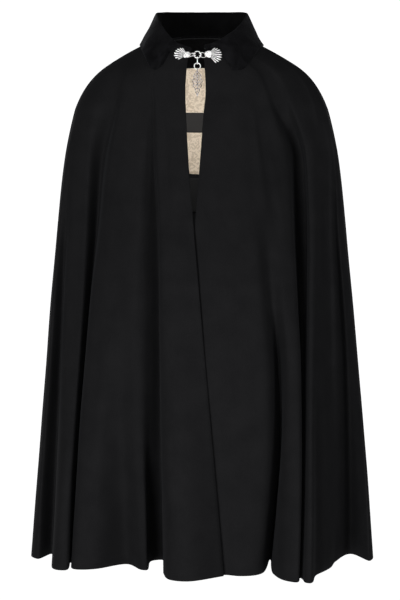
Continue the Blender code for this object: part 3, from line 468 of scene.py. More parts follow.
def velvet_material(name, dark=(0.0034, 0.0034, 0.0038), light=(0.0088, 0.0088, 0.0098), sheen=0.045):
    m, t, b = principled(name, dark, 0.85)
    co = node(t, "ShaderNodeTexCoord")
    pile = node(t, "ShaderNodeTexNoise")
    pile.inputs["Scale"].default_value = 1500.0
    pile.inputs["Detail"].default_value = 2.0
    t.links.new(co.outputs["Object"], pile.inputs["Vector"])
    crush = node(t, "ShaderNodeTexNoise")
    crush.inputs["Scale"].default_value = 48.0
    crush.inputs["Detail"].default_value = 3.0
    crush.inputs["Roughness"].default_value = 0.6
    crush.inputs["Distortion"].default_value = 0.8
    t.links.new(co.outputs["Object"], crush.inputs["Vector"])
    r = ramp(t, crush.outputs["Fac"], [(0.36, dark), (0.66, light)])
    t.links.new(r.outputs["Color"], b.inputs["Base Color"])
    b.inputs["Sheen Weight"].default_value = sheen
    b.inputs["Sheen Roughness"].default_value = 0.32
    b.inputs["Sheen Tint"].default_value = (0.82, 0.84, 0.90, 1.0)
    b.inputs["Specular IOR Level"].default_value = 0.03
    mix = node(t, "ShaderNodeMath", operation="MULTIPLY_ADD")
    t.links.new(crush.outputs["Fac"], mix.inputs[0])
    mix.inputs[1].default_value = 1.6
    t.links.new(pile.outputs["Fac"], mix.inputs[2])
    bump = node(t, "ShaderNodeBump")
    bump.inputs["Strength"].default_value = 0.5
    bump.inputs["Distance"].default_value = 0.0007
    t.links.new(mix.outputs[0], bump.inputs["Height"])
    t.links.new(bump.outputs["Normal"], b.inputs["Normal"])
    return m


def lining_material(name):
    """Pale satin with a faint woven figure of leafy scrolls."""
    m, t, b = principled(name, (0.66, 0.53, 0.41), 0.45)
    co = node(t, "ShaderNodeTexCoord")
    warp = node(t, "ShaderNodeTexNoise")
    warp.inputs["Scale"].default_value = 60.0
    warp.inputs["Detail"].default_value = 2.0
    t.links.new(co.outputs["Object"], warp.inputs["Vector"])
    put = node(t, "ShaderNodeMixRGB")
    put.blend_type = "MIX"
    put.inputs["Fac"].default_value = 0.05
    t.links.new(co.outputs["Object"], put.inputs["Color1"])
    t.links.new(warp.outputs["Color"], put.inputs["Color2"])
    cells = node(t, "ShaderNodeTexVoronoi")
    cells.feature = "SMOOTH_F1"
    cells.inputs["Scale"].default_value = 62.0
    cells.inputs["Smoothness"].default_value = 0.35
    t.links.new(put.outputs["Color"], cells.inputs["Vector"])
    scroll = node(t, "ShaderNodeMath", operation="SINE")
    times = node(t, "ShaderNodeMath", operation="MULTIPLY")
    times.inputs[1].default_value = 15.0
    t.links.new(cells.outputs["Distance"], times.inputs[0])
    t.links.new(times.outputs[0], scroll.inputs[0])
    half = node(t, "ShaderNodeMath", operation="MULTIPLY_ADD")
    half.inputs[1].default_value = 0.5
    half.inputs[2].default_value = 0.5
    t.links.new(scroll.outputs[0], half.inputs[0])
    r = ramp(t, half.outputs[0], [(0.20, (0.60, 0.485, 0.355)), (0.80, (0.80, 0.675, 0.525))])
    t.links.new(r.outputs["Color"], b.inputs["Base Color"])
    rr = ramp(t, half.outputs[0], [(0.2, (0.34, 0.34, 0.34)), (0.8, (0.62, 0.62, 0.62))])
    t.links.new(rr.outputs["Color"], b.inputs["Roughness"])
    b.inputs["Sheen Weight"].default_value = 0.1
    bump = node(t, "ShaderNodeBump")
    bump.inputs["Strength"].default_value = 0.25
    bump.inputs["Distance"].default_value = 0.0003
    t.links.new(half.outputs[0], bump.inputs["Height"])
    t.links.new(bump.outputs["Normal"], b.inputs["Normal"])
    return m


def tape_material(name, colour, rough=0.55, ribs=1400.0):
    m, t, b = principled(name, colour, rough)
    co = node(t, "ShaderNodeTexCoord")
    w = node(t, "ShaderNodeTexWave")
    w.wave_type = "BANDS"
    w.bands_direction = "Z"
    w.inputs["Scale"].default_value = ribs / 6.283
    w.inputs["Distortion"].default_value = 0.6
    t.links.new(co.outputs["Object"], w.inputs["Vector"])
    c1 = tuple(c * 0.75 for c in colour)
    c2 = tuple(c * 1.3 for c in colour)
    r = ramp(t, w.outputs["Fac"], [(0.2, c1), (0.8, c2)])
    t.links.new(r.outputs["Color"], b.inputs["Base Color"])
    bump = node(t, "ShaderNodeBump")
    bump.inputs["Strength"].default_value = 0.4
    bump.inputs["Distance"].default_value = 0.0002
    t.links.new(w.outputs["Fac"], bump.inputs["Height"])
    t.links.new(bump.outputs["Normal"], b.inputs["Normal"])
    return m


def silver_material(name, dull=(0.80, 0.79, 0.785), bright=(0.97, 0.965, 0.96), at=(0.30, 0.42), metal_=0.45):
    """Pale satin silver, a little dull in spots."""
    m, t, b = principled(name, bright, 0.32)
    b.inputs["Metallic"].default_value = metal_
    co = node(t, "ShaderNodeTexCoord")
    n = node(t, "ShaderNodeTexNoise")
    n.inputs["Scale"].default_value = 420.0
    n.inputs["Detail"].default_value = 3.0
    t.links.new(co.outputs["Object"], n.inputs["Vector"])
    r = ramp(t, n.outputs["Fac"], [(0.3, (0.22, 0.22, 0.22)), (0.7, (0.38, 0.38, 0.38))])
    t.links.new(r.outputs["Color"], b.inputs["Roughness"])
    spots = ramp(t, n.outputs["Fac"], [(at[0], dull), (at[1], bright)])
    t.links.new(spots.outputs["Color"], b.inputs["Base Color"])
    bump = node(t, "ShaderNodeBump")
    bump.inputs["Strength"].default_value = 0.15
    bump.inputs["Distance"].default_value = 0.0001
    t.links.new(n.outputs["Fac"], bump.inputs["Height"])
    t.links.new(bump.outputs["Normal"], b.inputs["Normal"])
    return m


WOOL = wool_material("wool")
VELVET_M = velvet_material("velvet")
# a darker copy of the velvet with no sheen: painted shade for the faces in the lee of the light
VELVET_SHADED_M = velvet_material("velvet_painted_shade", (0.0012, 0.0012, 0.0013), (0.0024, 0.0024, 0.0026), 0.0)
LINING_M = lining_material("lining")
LABEL_M = tape_material("label_weave", (0.0090, 0.0074, 0.0063), 0.7)
TAB_M = tape_material("tab_satin", (0.0006, 0.0006, 0.0007), 0.9)
SILVER_M = silver_material("silver")
OLD_SILVER_M = silver_material("silver_antiqued", (0.10, 0.085, 0.085), (0.66, 0.62, 0.63), (0.42, 0.58), 0.7)


def dark_ground_material(name):
    """A near-black ground between the ribs, its tone varying in noise spots."""
    m, t, b = principled(name, (0.03, 0.029, 0.028), 0.55)
    b.inputs["Metallic"].default_value = 0.0
    b.inputs["Specular IOR Level"].default_value = 0.1
    co = node(t, "ShaderNodeTexCoord")
    n = node(t, "ShaderNodeTexNoise")
    n.inputs["Scale"].default_value = 700.0
    n.inputs["Detail"].default_value = 3.0
    t.links.new(co.outputs["Object"], n.inputs["Vector"])
    r = ramp(t, n.outputs["Fac"], [(0.35, (0.006, 0.006, 0.006)), (0.75, (0.030, 0.029, 0.028))])
    t.links.new(r.outputs["Color"], b.inputs["Base Color"])
    return m


DARK_GROUND_M = dark_ground_material("fan_dark_ground")

# ---------------------------------------------------------------- the cloth
GRID, S1, S2 = cloth_grid()
NORM = normals(GRID)
if NORM[20, 9][1] > 0:
    NORM = -NORM


def uneven(grid, norm, seed):
    """The small unevenness of hanging wool: broad soft swells, fading out towards the neck."""
    out = grid.copy()
    rows, cols = grid.shape[:2]
    for r in range(rows):
        for c in range(cols):
            p = grid[r, c]
            q = Vector((p[0] * 9.0, p[1] * 9.0, p[2] * 2.6 + seed))
            k = noise.noise(q) * 1.2 + noise.noise(q * 3.1) * 0.35
            edge = min(r / 14.0, 1.0)
            out[r, c] = p + norm[r, c] * k * MM * edge
    return out


GRID = uneven(GRID, NORM, 3.7)
for r in range(GRID.shape[0]):
    for c in range(9):
        GRID[r, c, 0] += 2.4 * MM * (1.0 - c / 9.0) ** 2 * math.exp(-((GRID[r, c, 2] + H - 0.872) / 0.032) ** 2)
NORM2 = normals(GRID)
if NORM2[20, 9][1] > 0:
    NORM2 = -NORM2


def panel(name, c0, c1, start_seam, end_seam):
    g = GRID[:, c0:c1 + 1].copy()
    n = NORM2[:, c0:c1 + 1].copy()
    if start_seam:
        way = g[:, 1] - g[:, 0]
        way /= np.linalg.norm(way, axis=1, keepdims=True)
        g[:, 0] += way * SEAM_GAP / 2
    if end_seam:
        way = g[:, -2] - g[:, -1]
        way /= np.linalg.norm(way, axis=1, keepdims=True)
        g[:, -1] += way * SEAM_GAP / 2
    obj = wall(name, g, g - n * CLOTH, soft_rim=0.5 * MM)
    obj.data.materials.append(WOOL)
    return obj


front_left = panel("front_left_wool", 0, S1, False, True)
back = panel("back_wool", S1, S2, True, True)
front_right = panel("front_right_wool", S2, GRID.shape[1] - 1, True, False)
for piece, cad in ((front_left, "front_left"), (back, "back"), (front_right, "front_right")):
    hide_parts(cad)


def surface_of(objects):
    verts, polys = [], []
    for o in objects:
        base = len(verts)
        verts += [tuple(v.co) for v in o.data.vertices]
        polys += [tuple(base + i for i in p.vertices) for p in o.data.polygons]
    return BVHTree.FromPolygons(verts, polys)


OUTSIDE = surface_of([front_left, back, front_right])


def front_hit(x, z):
    p, n, _, _ = OUTSIDE.ray_cast(Vector((x, -1.0, z)), Vector((0, 1, 0)))
    return p, n


def down_hit(x, y):
    p, n, _, _ = OUTSIDE.ray_cast(Vector((x, y, 0.5)), Vector((0, 0, -1)))
    return p, n


# ---------------------------------------------------------------- the collar
def ring_at(s, row=0):
    pts = GRID[row]
    seg = np.linalg.norm(np.diff(pts, axis=0), axis=1)
    run = np.concatenate([[0], np.cumsum(seg)])
    back_i = int(np.argmin(np.abs(pts[S1:S2, 0]))) + S1
    d = run[back_i] + (run[-1] - run[back_i]) * (-s) if s <= 0 else run[back_i] * (1.0 - s)
    return np.array([np.interp(d, run, pts[:, k]) for k in range(3)])


def held_off(p, least):
    for _ in range(3):
        near, n, _, d = OUTSIDE.find_nearest(Vector(p))
        out = (Vector(p) - near).dot(n)
        if out > least:
            break
        p = np.array(Vector(p) + n * (least - out + 0.1 * MM))
    return p


COLLAR_COLUMNS, COLLAR_STEPS = 320, 9


def collar_grid():
    at = [r[0] for r in COLLAR_ROLL]
    at_edge = [r[0] for r in COLLAR_EDGE]
    edges = []
    lift = VELVET / 2 + 1.0 * MM
    for s, x, z, y in COLLAR_EDGE:
        if y is None:
            hit, n = front_hit(x, z - H)
            for _ in range(30):         # on to the cloth where the front is open
                if hit is not None and hit.y < 0.02:
                    break
                x += math.copysign(0.5 * MM, s)
                hit, n = front_hit(x, z - H)
        else:
            hit, n = down_hit(x, y)
        edges.append(list(hit + n * lift))
    cols = []
    for i in range(COLLAR_COLUMNS + 1):
        s = -1.0 + 2.0 * i / COLLAR_COLUMNS
        s = math.copysign(abs(s) ** 0.62, s)
        roll = through(at, [[r[1], r[2], r[3] - H, r[4] * MM] for r in COLLAR_ROLL], s)
        edge = through(at_edge, edges, s)
        base = ring_at(s) + np.array([0, 0, 1.6 * MM])
        way = np.array([roll[0], roll[1] + 0.01, 0.0])
        way /= np.linalg.norm(way)
        away = np.array([edge[0] - roll[0], edge[1] - roll[1], 0.0])
        fall = np.linalg.norm(edge - roll[:3])
        away /= max(np.linalg.norm(away), 1e-9)
        away = away * min(fall / (12.0 * MM), 1.0) + way * max(1.0 - fall / (12.0 * MM), 0.0)
        away /= max(np.linalg.norm(away), 1e-9)
        bend = min(fall / (12.0 * MM), 1.0)
        top = np.array(roll[:3])
        base = base - np.array([way[0], way[1], 0]) * 0.6 * MM
        s1 = top - way * 3.2 * MM * bend + np.array([0, 0, -3.0 * MM])
        f1 = top + away * 3.4 * MM * bend + np.array([0, 0, -2.6 * MM])
        mid = (f1 + edge) / 2 + away * roll[3] * 0.5 + np.array([0, 0, roll[3] * 0.8])
        col = smooth_run([base, (base + s1) / 2 - way * 0.6 * MM, s1, top, f1, mid, edge], COLLAR_STEPS)
        k0 = 4 * COLLAR_STEPS
        col = col[:k0] + [held_off(q, VELVET / 2 + 0.9 * MM) for q in col[k0:]]
        cols.append(col)
    return np.array(cols).transpose(1, 0, 2)


CG = collar_grid()
CN = normals(CG)
first_fall = 4 * COLLAR_STEPS
if CN[first_fall + 12, COLLAR_COLUMNS // 2][1] < 0:
    CN = -CN
rows_c, cols_c = CG.shape[:2]
for r in range(rows_c):
    for c in range(cols_c):
        p = CG[r, c]
        q = Vector((p[0] * 34.0, p[1] * 34.0, p[2] * 34.0))
        k = noise.noise(q) * 0.8 + noise.noise(q * 2.3) * 0.35
        inner = min(r / 6.0, 1.0)
        CG[r, c] = p + CN[r, c] * max(k, -0.5) * 0.8 * MM * inner
# the stitched line inside the edge: a fine groove, with the edge plump beyond it
thick = np.full((rows_c, cols_c), VELVET / 2)
edge_run = np.zeros((rows_c, cols_c))
down = np.linalg.norm(np.diff(CG, axis=0), axis=2)
from_edge = np.concatenate([np.cumsum(down[::-1], axis=0)[::-1], np.zeros((1, cols_c))], axis=0)
side = np.linalg.norm(np.diff(CG, axis=1), axis=2)
from_a = np.concatenate([np.zeros((rows_c, 1)), np.cumsum(side, axis=1)], axis=1)
from_b = np.concatenate([np.cumsum(side[:, ::-1], axis=1)[:, ::-1], np.zeros((rows_c, 1))], axis=1)
near_edge = np.minimum(np.minimum(from_edge, from_a), from_b)
STITCH_IN = 5.0 * MM
groove = np.exp(-((near_edge - STITCH_IN) / (0.9 * MM)) ** 2)
plump = np.exp(-((near_edge - 2.0 * MM) / (2.0 * MM)) ** 2)
thick = thick - 0.7 * MM * groove + 0.45 * MM * plump
collar = wall("collar_velvet", CG + CN * thick[..., None], CG - CN * thick[..., None], soft_rim=1.1 * MM)
collar.data.materials.append(VELVET_M)
collar.data.materials.append(VELVET_SHADED_M)
# the stand's faces below the roll line take the darker velvet copy: painted shade on the inside of the stand
for r in range(3 * COLLAR_STEPS - 1):
    for c in range(cols_c - 1):
        collar.data.polygons[2 * (r * (cols_c - 1) + c)].material_index = 1
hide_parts("collar")

# ---------------------------------------------------------------- inside the back
INSIDE = surface_of([back])


def back_inside(x, z, inwards):
    p, n, _, _ = INSIDE.ray_cast(Vector((x, 0.0, z)), Vector((0, 1, 0)))
    return np.array(p) + np.array(n) * inwards


def inside_patch(name, half_w, top, low, cols, rows_n, inwards, thick_, mid_x=0.0, drop=0.0, puff=0.0):
    outer = np.zeros((rows_n + 1, cols + 1, 3))
    inner = np.zeros_like(outer)
    for r in range(rows_n + 1):
        for c in range(cols + 1):
            u = -1.0 + 2.0 * c / cols
            x = mid_x + half_w * u
            lo = low + drop * u * u
            hi = top - x * x * (1 if drop else 0)
            z = hi + (lo - hi) * r / rows_n - H
            p = back_inside(x, z, inwards)
            w = Vector((x * 40.0, 0.0, z * 22.0))
            p[1] -= puff * (0.5 + 0.5 * noise.noise(w))
            outer[r, c] = p
            inner[r, c] = p + np.array([0, -thick_, 0])
    return wall(name, outer, inner, soft_rim=0.3 * MM)


def facing_patch():
    """A velvet facing from the neck ring down to the lining, across the back, in the darker velvet copy: painted shade
    above the lining.
    """
    cols, rows_n = 40, 14
    outer = np.zeros((rows_n + 1, cols + 1, 3))
    inner = np.zeros_like(outer)
    for c in range(cols + 1):
        x = 0.062 * (-1.0 + 2.0 * c / cols)
        hi = 1.002 - H
        while INSIDE.ray_cast(Vector((x, 0.0, hi)), Vector((0, 1, 0)))[0] is None:
            hi -= 0.3 * MM
        hi -= 0.5 * MM
        for r in range(rows_n + 1):
            z = hi + (0.9500 - H - hi) * r / rows_n
            q = back_inside(x, z, 0.5 * MM)
            outer[r, c] = q
            near, n, _, _ = INSIDE.find_nearest(Vector(q))
            inner[r, c] = q + np.array(n) * 0.8 * MM
        outer[0, c, 2] += 1.6 * MM
        inner[0, c, 2] += 1.6 * MM
    return wall("neck_facing_velvet", outer, inner, soft_rim=0.2 * MM)


facing = facing_patch()
# the facing takes the darker velvet copy: painted shade
facing.data.materials.append(VELVET_SHADED_M)
lining = inside_patch("lining_yoke_cloth", 0.135, 0.9484, 0.744, 60, 44, 0.9 * MM, 0.8 * MM, drop=0.03, puff=0.9 * MM)
lining.data.materials.append(LINING_M)
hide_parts("lining_yoke")
label = inside_patch("label_band_cloth", 0.045, 0.8645, 0.8265, 30, 14, 2.9 * MM, 0.8 * MM)
label.data.materials.append(LABEL_M)
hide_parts("label_band")
care = inside_patch("care_tab_cloth", 0.015, 0.7360, 0.6690, 10, 22, 2.6 * MM, 0.6 * MM, mid_x=-0.0170)
care.data.materials.append(TAB_M)
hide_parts("care_tab")

# ---------------------------------------------------------------- metal
CLASP_Y = -0.1370
RX, RZ, RR, RW = -0.0080, 0.9310 - H, 6.0 * MM, 1.0 * MM     # the clasp ring
LINK_X, LINK_Z, LINK_W = 4.2 * MM, 6.5 * MM, 0.8 * MM
LOW_R, LOW_W = 5.6 * MM, 1.0 * MM
EYE_R, EYE_W = 2.4 * MM, 0.7 * MM
SLACK = 0.2 * MM
DROP_H = 0.0460


class Shells:
    """Several closed shells in one mesh."""

    def __init__(self):
        self.verts, self.faces, self.dark = [], [], []

    def add(self, verts, faces):
        base = len(self.verts)
        self.verts += [tuple(v) for v in verts]
        self.faces += [tuple(base + i for i in f) for f in faces]

    def loft(self, rings):
        n = len(rings[0])
        verts = [q for r in rings for q in r]
        faces = []
        for i in range(len(rings) - 1):
            for j in range(n):
                j2 = (j + 1) % n
                faces.append((i * n + j, i * n + j2, (i + 1) * n + j2, (i + 1) * n + j))
        first, last = len(verts), len(verts) + 1
        verts += [np.mean(np.array(rings[0]), axis=0), np.mean(np.array(rings[-1]), axis=0)]
        for j in range(n):
            j2 = (j + 1) % n
            faces.append((first, j2, j))
            faces.append((last, (len(rings) - 1) * n + j, (len(rings) - 1) * n + j2))
        self.add(verts, faces)

    def torus(self, centre, radius, wire, axis, round_n=48, wire_n=14, squash=1.0):
        verts, faces = [], []
        for i in range(round_n):
            a_ = 2 * math.pi * i / round_n
            c, s_ = math.cos(a_), math.sin(a_)
            for j in range(wire_n):
                b_ = 2 * math.pi * j / wire_n
                out, side = math.cos(b_) * wire, math.sin(b_) * wire
                q = (c * radius + c * out, side, s_ * radius * squash + s_ * out)
                if axis == "X":
                    q = (side, c * radius + c * out, s_ * radius * squash + s_ * out)
                verts.append(tuple(centre[k] + q[k] for k in range(3)))
        for i in range(round_n):
            for j in range(wire_n):
                i2, j2 = (i + 1) % round_n, (j + 1) % wire_n
                faces.append((i * wire_n + j, i * wire_n + j2, i2 * wire_n + j2, i2 * wire_n + j))
        self.add(verts, faces)

    def wire(self, points, radius, per=6, n=10, taper=None, flat=1.0):
        """A round wire through points with softly rounded ends."""
        p = [Vector(q) for q in smooth_run(points, per)]
        count = len(p)
        run = [0.0]
        for i in range(1, count):
            run.append(run[-1] + (p[i] - p[i - 1]).length)
        rings = []
        side = None
        for i, q in enumerate(p):
            t = (p[min(i + 1, count - 1)] - p[max(i - 1, 0)]).normalized()
            if side is None:
                side = t.cross(Vector((0, 1, 0)))
                if side.length < 0.2:
                    side = t.cross(Vector((0, 0, 1)))
            side = (side - t * side.dot(t)).normalized()
            other = t.cross(side)
            k = run[i] / run[-1]
            r = radius * (taper(k) if taper else 1.0)
            end = min(run[i], run[-1] - run[i]) / radius
            r *= math.sqrt(max(1.0 - (1.0 - min(end, 1.0)) ** 2, 0.03))
            rings.append([q + side * math.cos(2 * math.pi * j / n) * r + other * math.sin(2 * math.pi * j / n) * r * flat
                          for j in range(n)])
        self.loft(rings)

    def bead(self, centre, radius, rows_n=7, n=12, flat=1.0):
        rings = []
        for i in range(rows_n + 1):
            a_ = math.pi * (0.06 + 0.88 * i / rows_n)
            rings.append([Vector(centre) + Vector((math.cos(2 * math.pi * j / n) * math.sin(a_) * radius,
                                                   -math.cos(a_) * radius * flat,
                                                   math.sin(2 * math.pi * j / n) * math.sin(a_) * radius)) for j in range(n)])
        self.loft(rings)

    def rib(self, hub, way, start, reach, spread, back_y, low, crown, point=1.0, steps=18, n=14):
        """A leaf-shaped rib: flat behind, ridged in front, from start to reach.
        It widens with its distance from the hub, and its neighbours stay clear."""
        rings = []
        ux, uz = math.cos(way), math.sin(way)
        tip_at = 0.80
        for i in range(steps + 1):
            t = (i / steps) ** 0.85
            r = start + (reach - start) * t
            tip = 1.0
            if t > tip_at:
                tip = max(1.0 - ((t - tip_at) / (1.0 - tip_at)) ** (2.0 / point), 0.0) ** (0.5 * point)
            w = max(math.tan(spread / 2) * r * 0.66, 0.40 * MM) * max(tip, 0.08)
            up = (low + crown * math.sin(math.pi * min(0.12 + 0.62 * t, 1.0))) * (0.55 + 0.45 * tip)
            ring = []
            for j in range(n):
                a_ = 2 * math.pi * j / n
                c, s_ = math.cos(a_), math.sin(a_)
                high = up * (1.0 - abs(c) ** 3.2) if s_ > 0 else 0.0
                deep = -0.25 * MM * abs(s_) if s_ < 0 else 0.0
                ring.append((hub[0] + ux * r - uz * c * w, back_y - 0.55 * MM - high - deep, hub[1] + uz * r + ux * c * w))
            rings.append(ring)
        self.loft(rings)

    def object(self, name, body, replaced, smooth=True):
        obj = new_object(name, self.verts, self.faces, body, smooth)
        obj.data.materials.append(OLD_SILVER_M if name.startswith("pendant") else SILVER_M)
        if self.dark:
            obj.data.materials.append(DARK_GROUND_M)
            for first, last in self.dark:
                for k in range(first, last):
                    obj.data.polygons[k].material_index = 1
        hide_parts(replaced)
        return obj


UNDER_FANS = surface_of([front_left, front_right, collar])


def lies_on(hub, reach, way):
    ys = []
    for share in (-0.15, 0.15, 0.3, 0.45, 0.6, 0.75, 0.9, 1.02):
        for turn in range(-48, 49, 8):
            a_ = math.radians(way + turn)
            hit = UNDER_FANS.ray_cast(Vector((hub[0] + reach * share * math.cos(a_), -1.0,
                                              hub[1] + reach * share * math.sin(a_))), Vector((0, 1, 0)))[0]
            if hit is not None and hit.y < 0:
                ys.append(hit.y)
    return min(ys) - 0.5 * MM


def fan(shells, hub, reach, way, ribs, half_deg, back_y, knob, point, lengths):
    """A shell of leaf-shaped ribs on a thin plate, with a domed knob at its root."""
    half = math.radians(half_deg)
    pitch = 2 * half / (ribs - 1)
    # the plate under the ribs, out to a little over half of them
    rim_, n = [], 40
    for i in range(n + 1):
        f = -1.0 + 2.0 * i / n
        a_ = math.radians(way) + f * (half + pitch * 0.25)
        r = reach * 0.74 * lengths[min(int(round((f + 1.0) / 2 * (ribs - 1))), ribs - 1)]
        rim_.append((hub[0] + r * math.cos(a_), hub[1] + r * math.sin(a_)))
    for i in range(1, 14):
        a_ = math.radians(way) + half + pitch * 0.25 + (2 * math.pi - 2 * half - pitch * 0.5) * i / 14
        rim_.append((hub[0] + knob * 0.9 * math.cos(a_), hub[1] + knob * 0.9 * math.sin(a_)))
    first = len(shells.faces)
    shells.loft([[(x, back_y, z) for x, z in rim_],
                 [(x, back_y - 0.8 * MM, z) for x, z in rim_],
                 [(hub[0] + (x - hub[0]) * 0.94, back_y - 1.1 * MM, hub[1] + (z - hub[1]) * 0.94) for x, z in rim_]])
    shells.dark.append((first, len(shells.faces)))
    for i in range(ribs):
        f = -1.0 + 2.0 * i / (ribs - 1)
        shells.rib(hub, math.radians(way) + f * half, knob * 0.75, reach * lengths[i % len(lengths)], pitch, back_y,
                   1.1 * MM, 0.9 * MM, point)
    # the knob: a low dome in a ring of beads, with a small bead on top
    for i in range(11):
        a_ = math.radians(way) + math.pi * 2 * i / 11
        shells.bead((hub[0] + knob * 0.90 * math.cos(a_), back_y - 1.9 * MM, hub[1] + knob * 0.90 * math.sin(a_)), 1.2 * MM, 6, 10)
    shells.bead((hub[0], back_y - 1.6 * MM, hub[1]), knob * 0.80, 12, 22, 0.55)
    shells.bead((hub[0], back_y - 3.9 * MM, hub[1]), knob * 0.30, 8, 14, 0.7)


# the wearer's right: eight rounder ribs and a double wire loop round the ring
HUB_R = (-0.0256, 0.9335 - H)
back_r = lies_on(HUB_R, 24.0 * MM, 171.0)
metal = Shells()
fan(metal, HUB_R, 25.2 * MM, 167.0, 8, 38.5, back_r, 4.9 * MM, 0.7, (0.62, 0.74, 0.86, 0.93, 0.99, 1.0, 0.93, 0.78))
metal.bead((HUB_R[0] - 4.6 * MM, back_r - 1.5 * MM, HUB_R[1] - 2.6 * MM), 3.3 * MM, 9, 16, 0.6)
fore, aft = CLASP_Y - 2.1 * MM, CLASP_Y + 2.2 * MM
lx = RX - RR
for sign in (-1, 1):
    metal.wire([(HUB_R[0] + 0.6 * MM, back_r - 2.6 * MM, HUB_R[1] + sign * 1.7 * MM),
                (lx - 7.2 * MM, (back_r - 2.6 * MM + fore) / 2, RZ + sign * 2.3 * MM),
                (lx - 2.4 * MM, fore, RZ + sign * 2.3 * MM), (lx + 0.2 * MM, fore, RZ + sign * 2.0 * MM),
                (lx + 2.5 * MM, CLASP_Y - 0.4 * MM, RZ + sign * 1.7 * MM), (lx + 1.2 * MM, aft, RZ + sign * 1.6 * MM),
                (lx - 1.6 * MM, aft - 0.2 * MM, RZ + sign * 1.7 * MM),
                (lx - 4.0 * MM, CLASP_Y, RZ + sign * 2.2 * MM)], 0.72 * MM, 6, 10)
metal.bead((lx - 8.0 * MM, (back_r - 2.6 * MM + fore) / 2, RZ), 1.5 * MM, 8, 12)
fan_r = metal.object("clasp_fan_right_metal", "cape", "clasp_fan_right")

# the wearer's left: nine pointed ribs and a double wire hook through the ring
HUB_L = (0.0106, 0.9338 - H)
back_l = lies_on(HUB_L, 26.0 * MM, -9.0)
metal = Shells()
fan(metal, HUB_L, 26.6 * MM, -2.0, 9, 43.0, back_l, 5.3 * MM, 1.2, (0.84, 0.93, 0.99, 1.0, 0.98, 0.95, 0.90, 0.80, 0.68))
metal.bead((HUB_L[0] + 3.2 * MM, back_l - 1.5 * MM, HUB_L[1] + 3.0 * MM), 3.5 * MM, 9, 16, 0.6)
metal.bead((HUB_L[0] + 3.0 * MM, back_l - 1.5 * MM, HUB_L[1] - 3.6 * MM), 2.9 * MM, 9, 16, 0.6)
hx = RX + RR
for sign in (-1, 1):
    metal.wire([(HUB_L[0] - 0.6 * MM, back_l - 2.4 * MM, HUB_L[1] + sign * 2.4 * MM),
                (hx + 6.4 * MM, (back_l - 2.4 * MM + aft) / 2, RZ + sign * 4.0 * MM),
                (hx + 2.6 * MM, aft, RZ + sign * 4.2 * MM), (hx + 0.2 * MM, aft + 0.2 * MM, RZ + sign * 3.2 * MM),
                (hx - 2.2 * MM, CLASP_Y + 1.0 * MM, RZ + sign * 2.1 * MM), (hx - 2.3 * MM, CLASP_Y - 1.2 * MM, RZ + sign * 1.7 * MM),
                (hx - 0.2 * MM, fore, RZ + sign * 1.4 * MM), (hx + 1.8 * MM, fore, RZ + sign * 0.62 * MM)],
               0.58 * MM, 6, 10)
fan_l = metal.object("clasp_fan_left_metal", "cape", "clasp_fan_left")

metal = Shells()
metal.torus((RX, CLASP_Y, RZ), RR, RW * 0.82, "Y")
ring_piece = metal.object("clasp_ring_wire", "cape", "clasp_ring")

ring_foot = RZ - RR
link_z = ring_foot + RW + LINK_W + SLACK - LINK_Z
link_foot = link_z - LINK_Z
metal = Shells()
metal.torus((RX, CLASP_Y, link_z), LINK_X, LINK_W, "X", 44, 12, LINK_Z / LINK_X)
link_piece = metal.object("link_wire", "link", "link")

low_z = link_foot + LINK_W + LOW_W + SLACK - LOW_R
low_foot = low_z - LOW_R
metal = Shells()
metal.torus((RX, CLASP_Y, low_z), LOW_R, LOW_W * 0.82, "Y")
low_piece = metal.object("lower_ring_wire", "lower_ring", "lower_ring")

# the pendant: an openwork leaf, lobed like a palmette, on an eye seen edge on
eye_z = low_foot + LOW_W + EYE_W + SLACK - EYE_R
top_z = eye_z - EYE_R + 0.2 * MM
metal = Shells()
metal.torus((RX, CLASP_Y, eye_z), EYE_R, EYE_W, "X", 28, 10)
metal.bead((RX, CLASP_Y, top_z - 0.6 * MM), 1.5 * MM, 8, 12)
LEAF = [  # share of the height down, share of the half width: three lobes a side
    (0.02, 0.06), (0.09, 0.34), (0.15, 0.62), (0.21, 0.78), (0.25, 0.66), (0.29, 0.58), (0.34, 0.84),
    (0.41, 1.00), (0.46, 0.88), (0.49, 0.66), (0.54, 0.78), (0.60, 0.80), (0.65, 0.60), (0.69, 0.42),
    (0.77, 0.44), (0.83, 0.30), (0.90, 0.16), (0.985, 0.02),
]
HALF = 9.0 * MM
for sign in (-1, 1):
    metal.wire([(RX + sign * HALF * w, CLASP_Y, top_z - DROP_H * t) for t, w in LEAF], 0.62 * MM, 3, 8)
metal.wire([(RX, CLASP_Y - 0.2 * MM, top_z - DROP_H * t) for t in (0.01, 0.25, 0.5, 0.75, 0.97)], 0.95 * MM, 5, 10,
           lambda k: 1.0 - 0.55 * k)
for t0, t1, w1, curl in ((0.16, 0.19, 0.72, 0.5), (0.30, 0.37, 0.92, 0.6), (0.42, 0.44, 0.90, 0.2),
                         (0.50, 0.57, 0.74, 0.4), (0.64, 0.76, 0.40, 0.3)):
    for sign in (-1, 1):
        a0 = (RX, CLASP_Y - 0.2 * MM, top_z - DROP_H * (t0 + 0.07))
        a1 = (RX + sign * HALF * w1 * 0.45, CLASP_Y - 0.5 * MM, top_z - DROP_H * (t0 + (t1 - t0) * 0.4 - 0.01 * curl))
        a2 = (RX + sign * HALF * w1 * 0.97, CLASP_Y, top_z - DROP_H * t1)
        metal.wire([a0, a1, a2], 0.52 * MM, 6, 8, lambda k: 1.15 - 0.35 * k)
for t0, t1, w0 in ((0.20, 0.31, 0.36), (0.37, 0.49, 0.42), (0.53, 0.63, 0.34)):
    for sign in (-1, 1):
        cx, cz = RX + sign * HALF * w0, top_z - DROP_H * (t0 + t1) / 2
        scroll = []
        for i in range(13):
            a_ = math.pi * (0.2 + 2.1 * i / 12)
            r = (2.2 - 1.3 * i / 12) * MM
            scroll.append((cx + sign * r * math.cos(a_), CLASP_Y - 0.1 * MM, cz + r * math.sin(a_)))
        metal.wire(scroll, 0.40 * MM, 2, 8, lambda k: 1.0 - 0.3 * k)
        metal.bead((cx, CLASP_Y - 0.2 * MM, cz), 0.62 * MM, 6, 8)
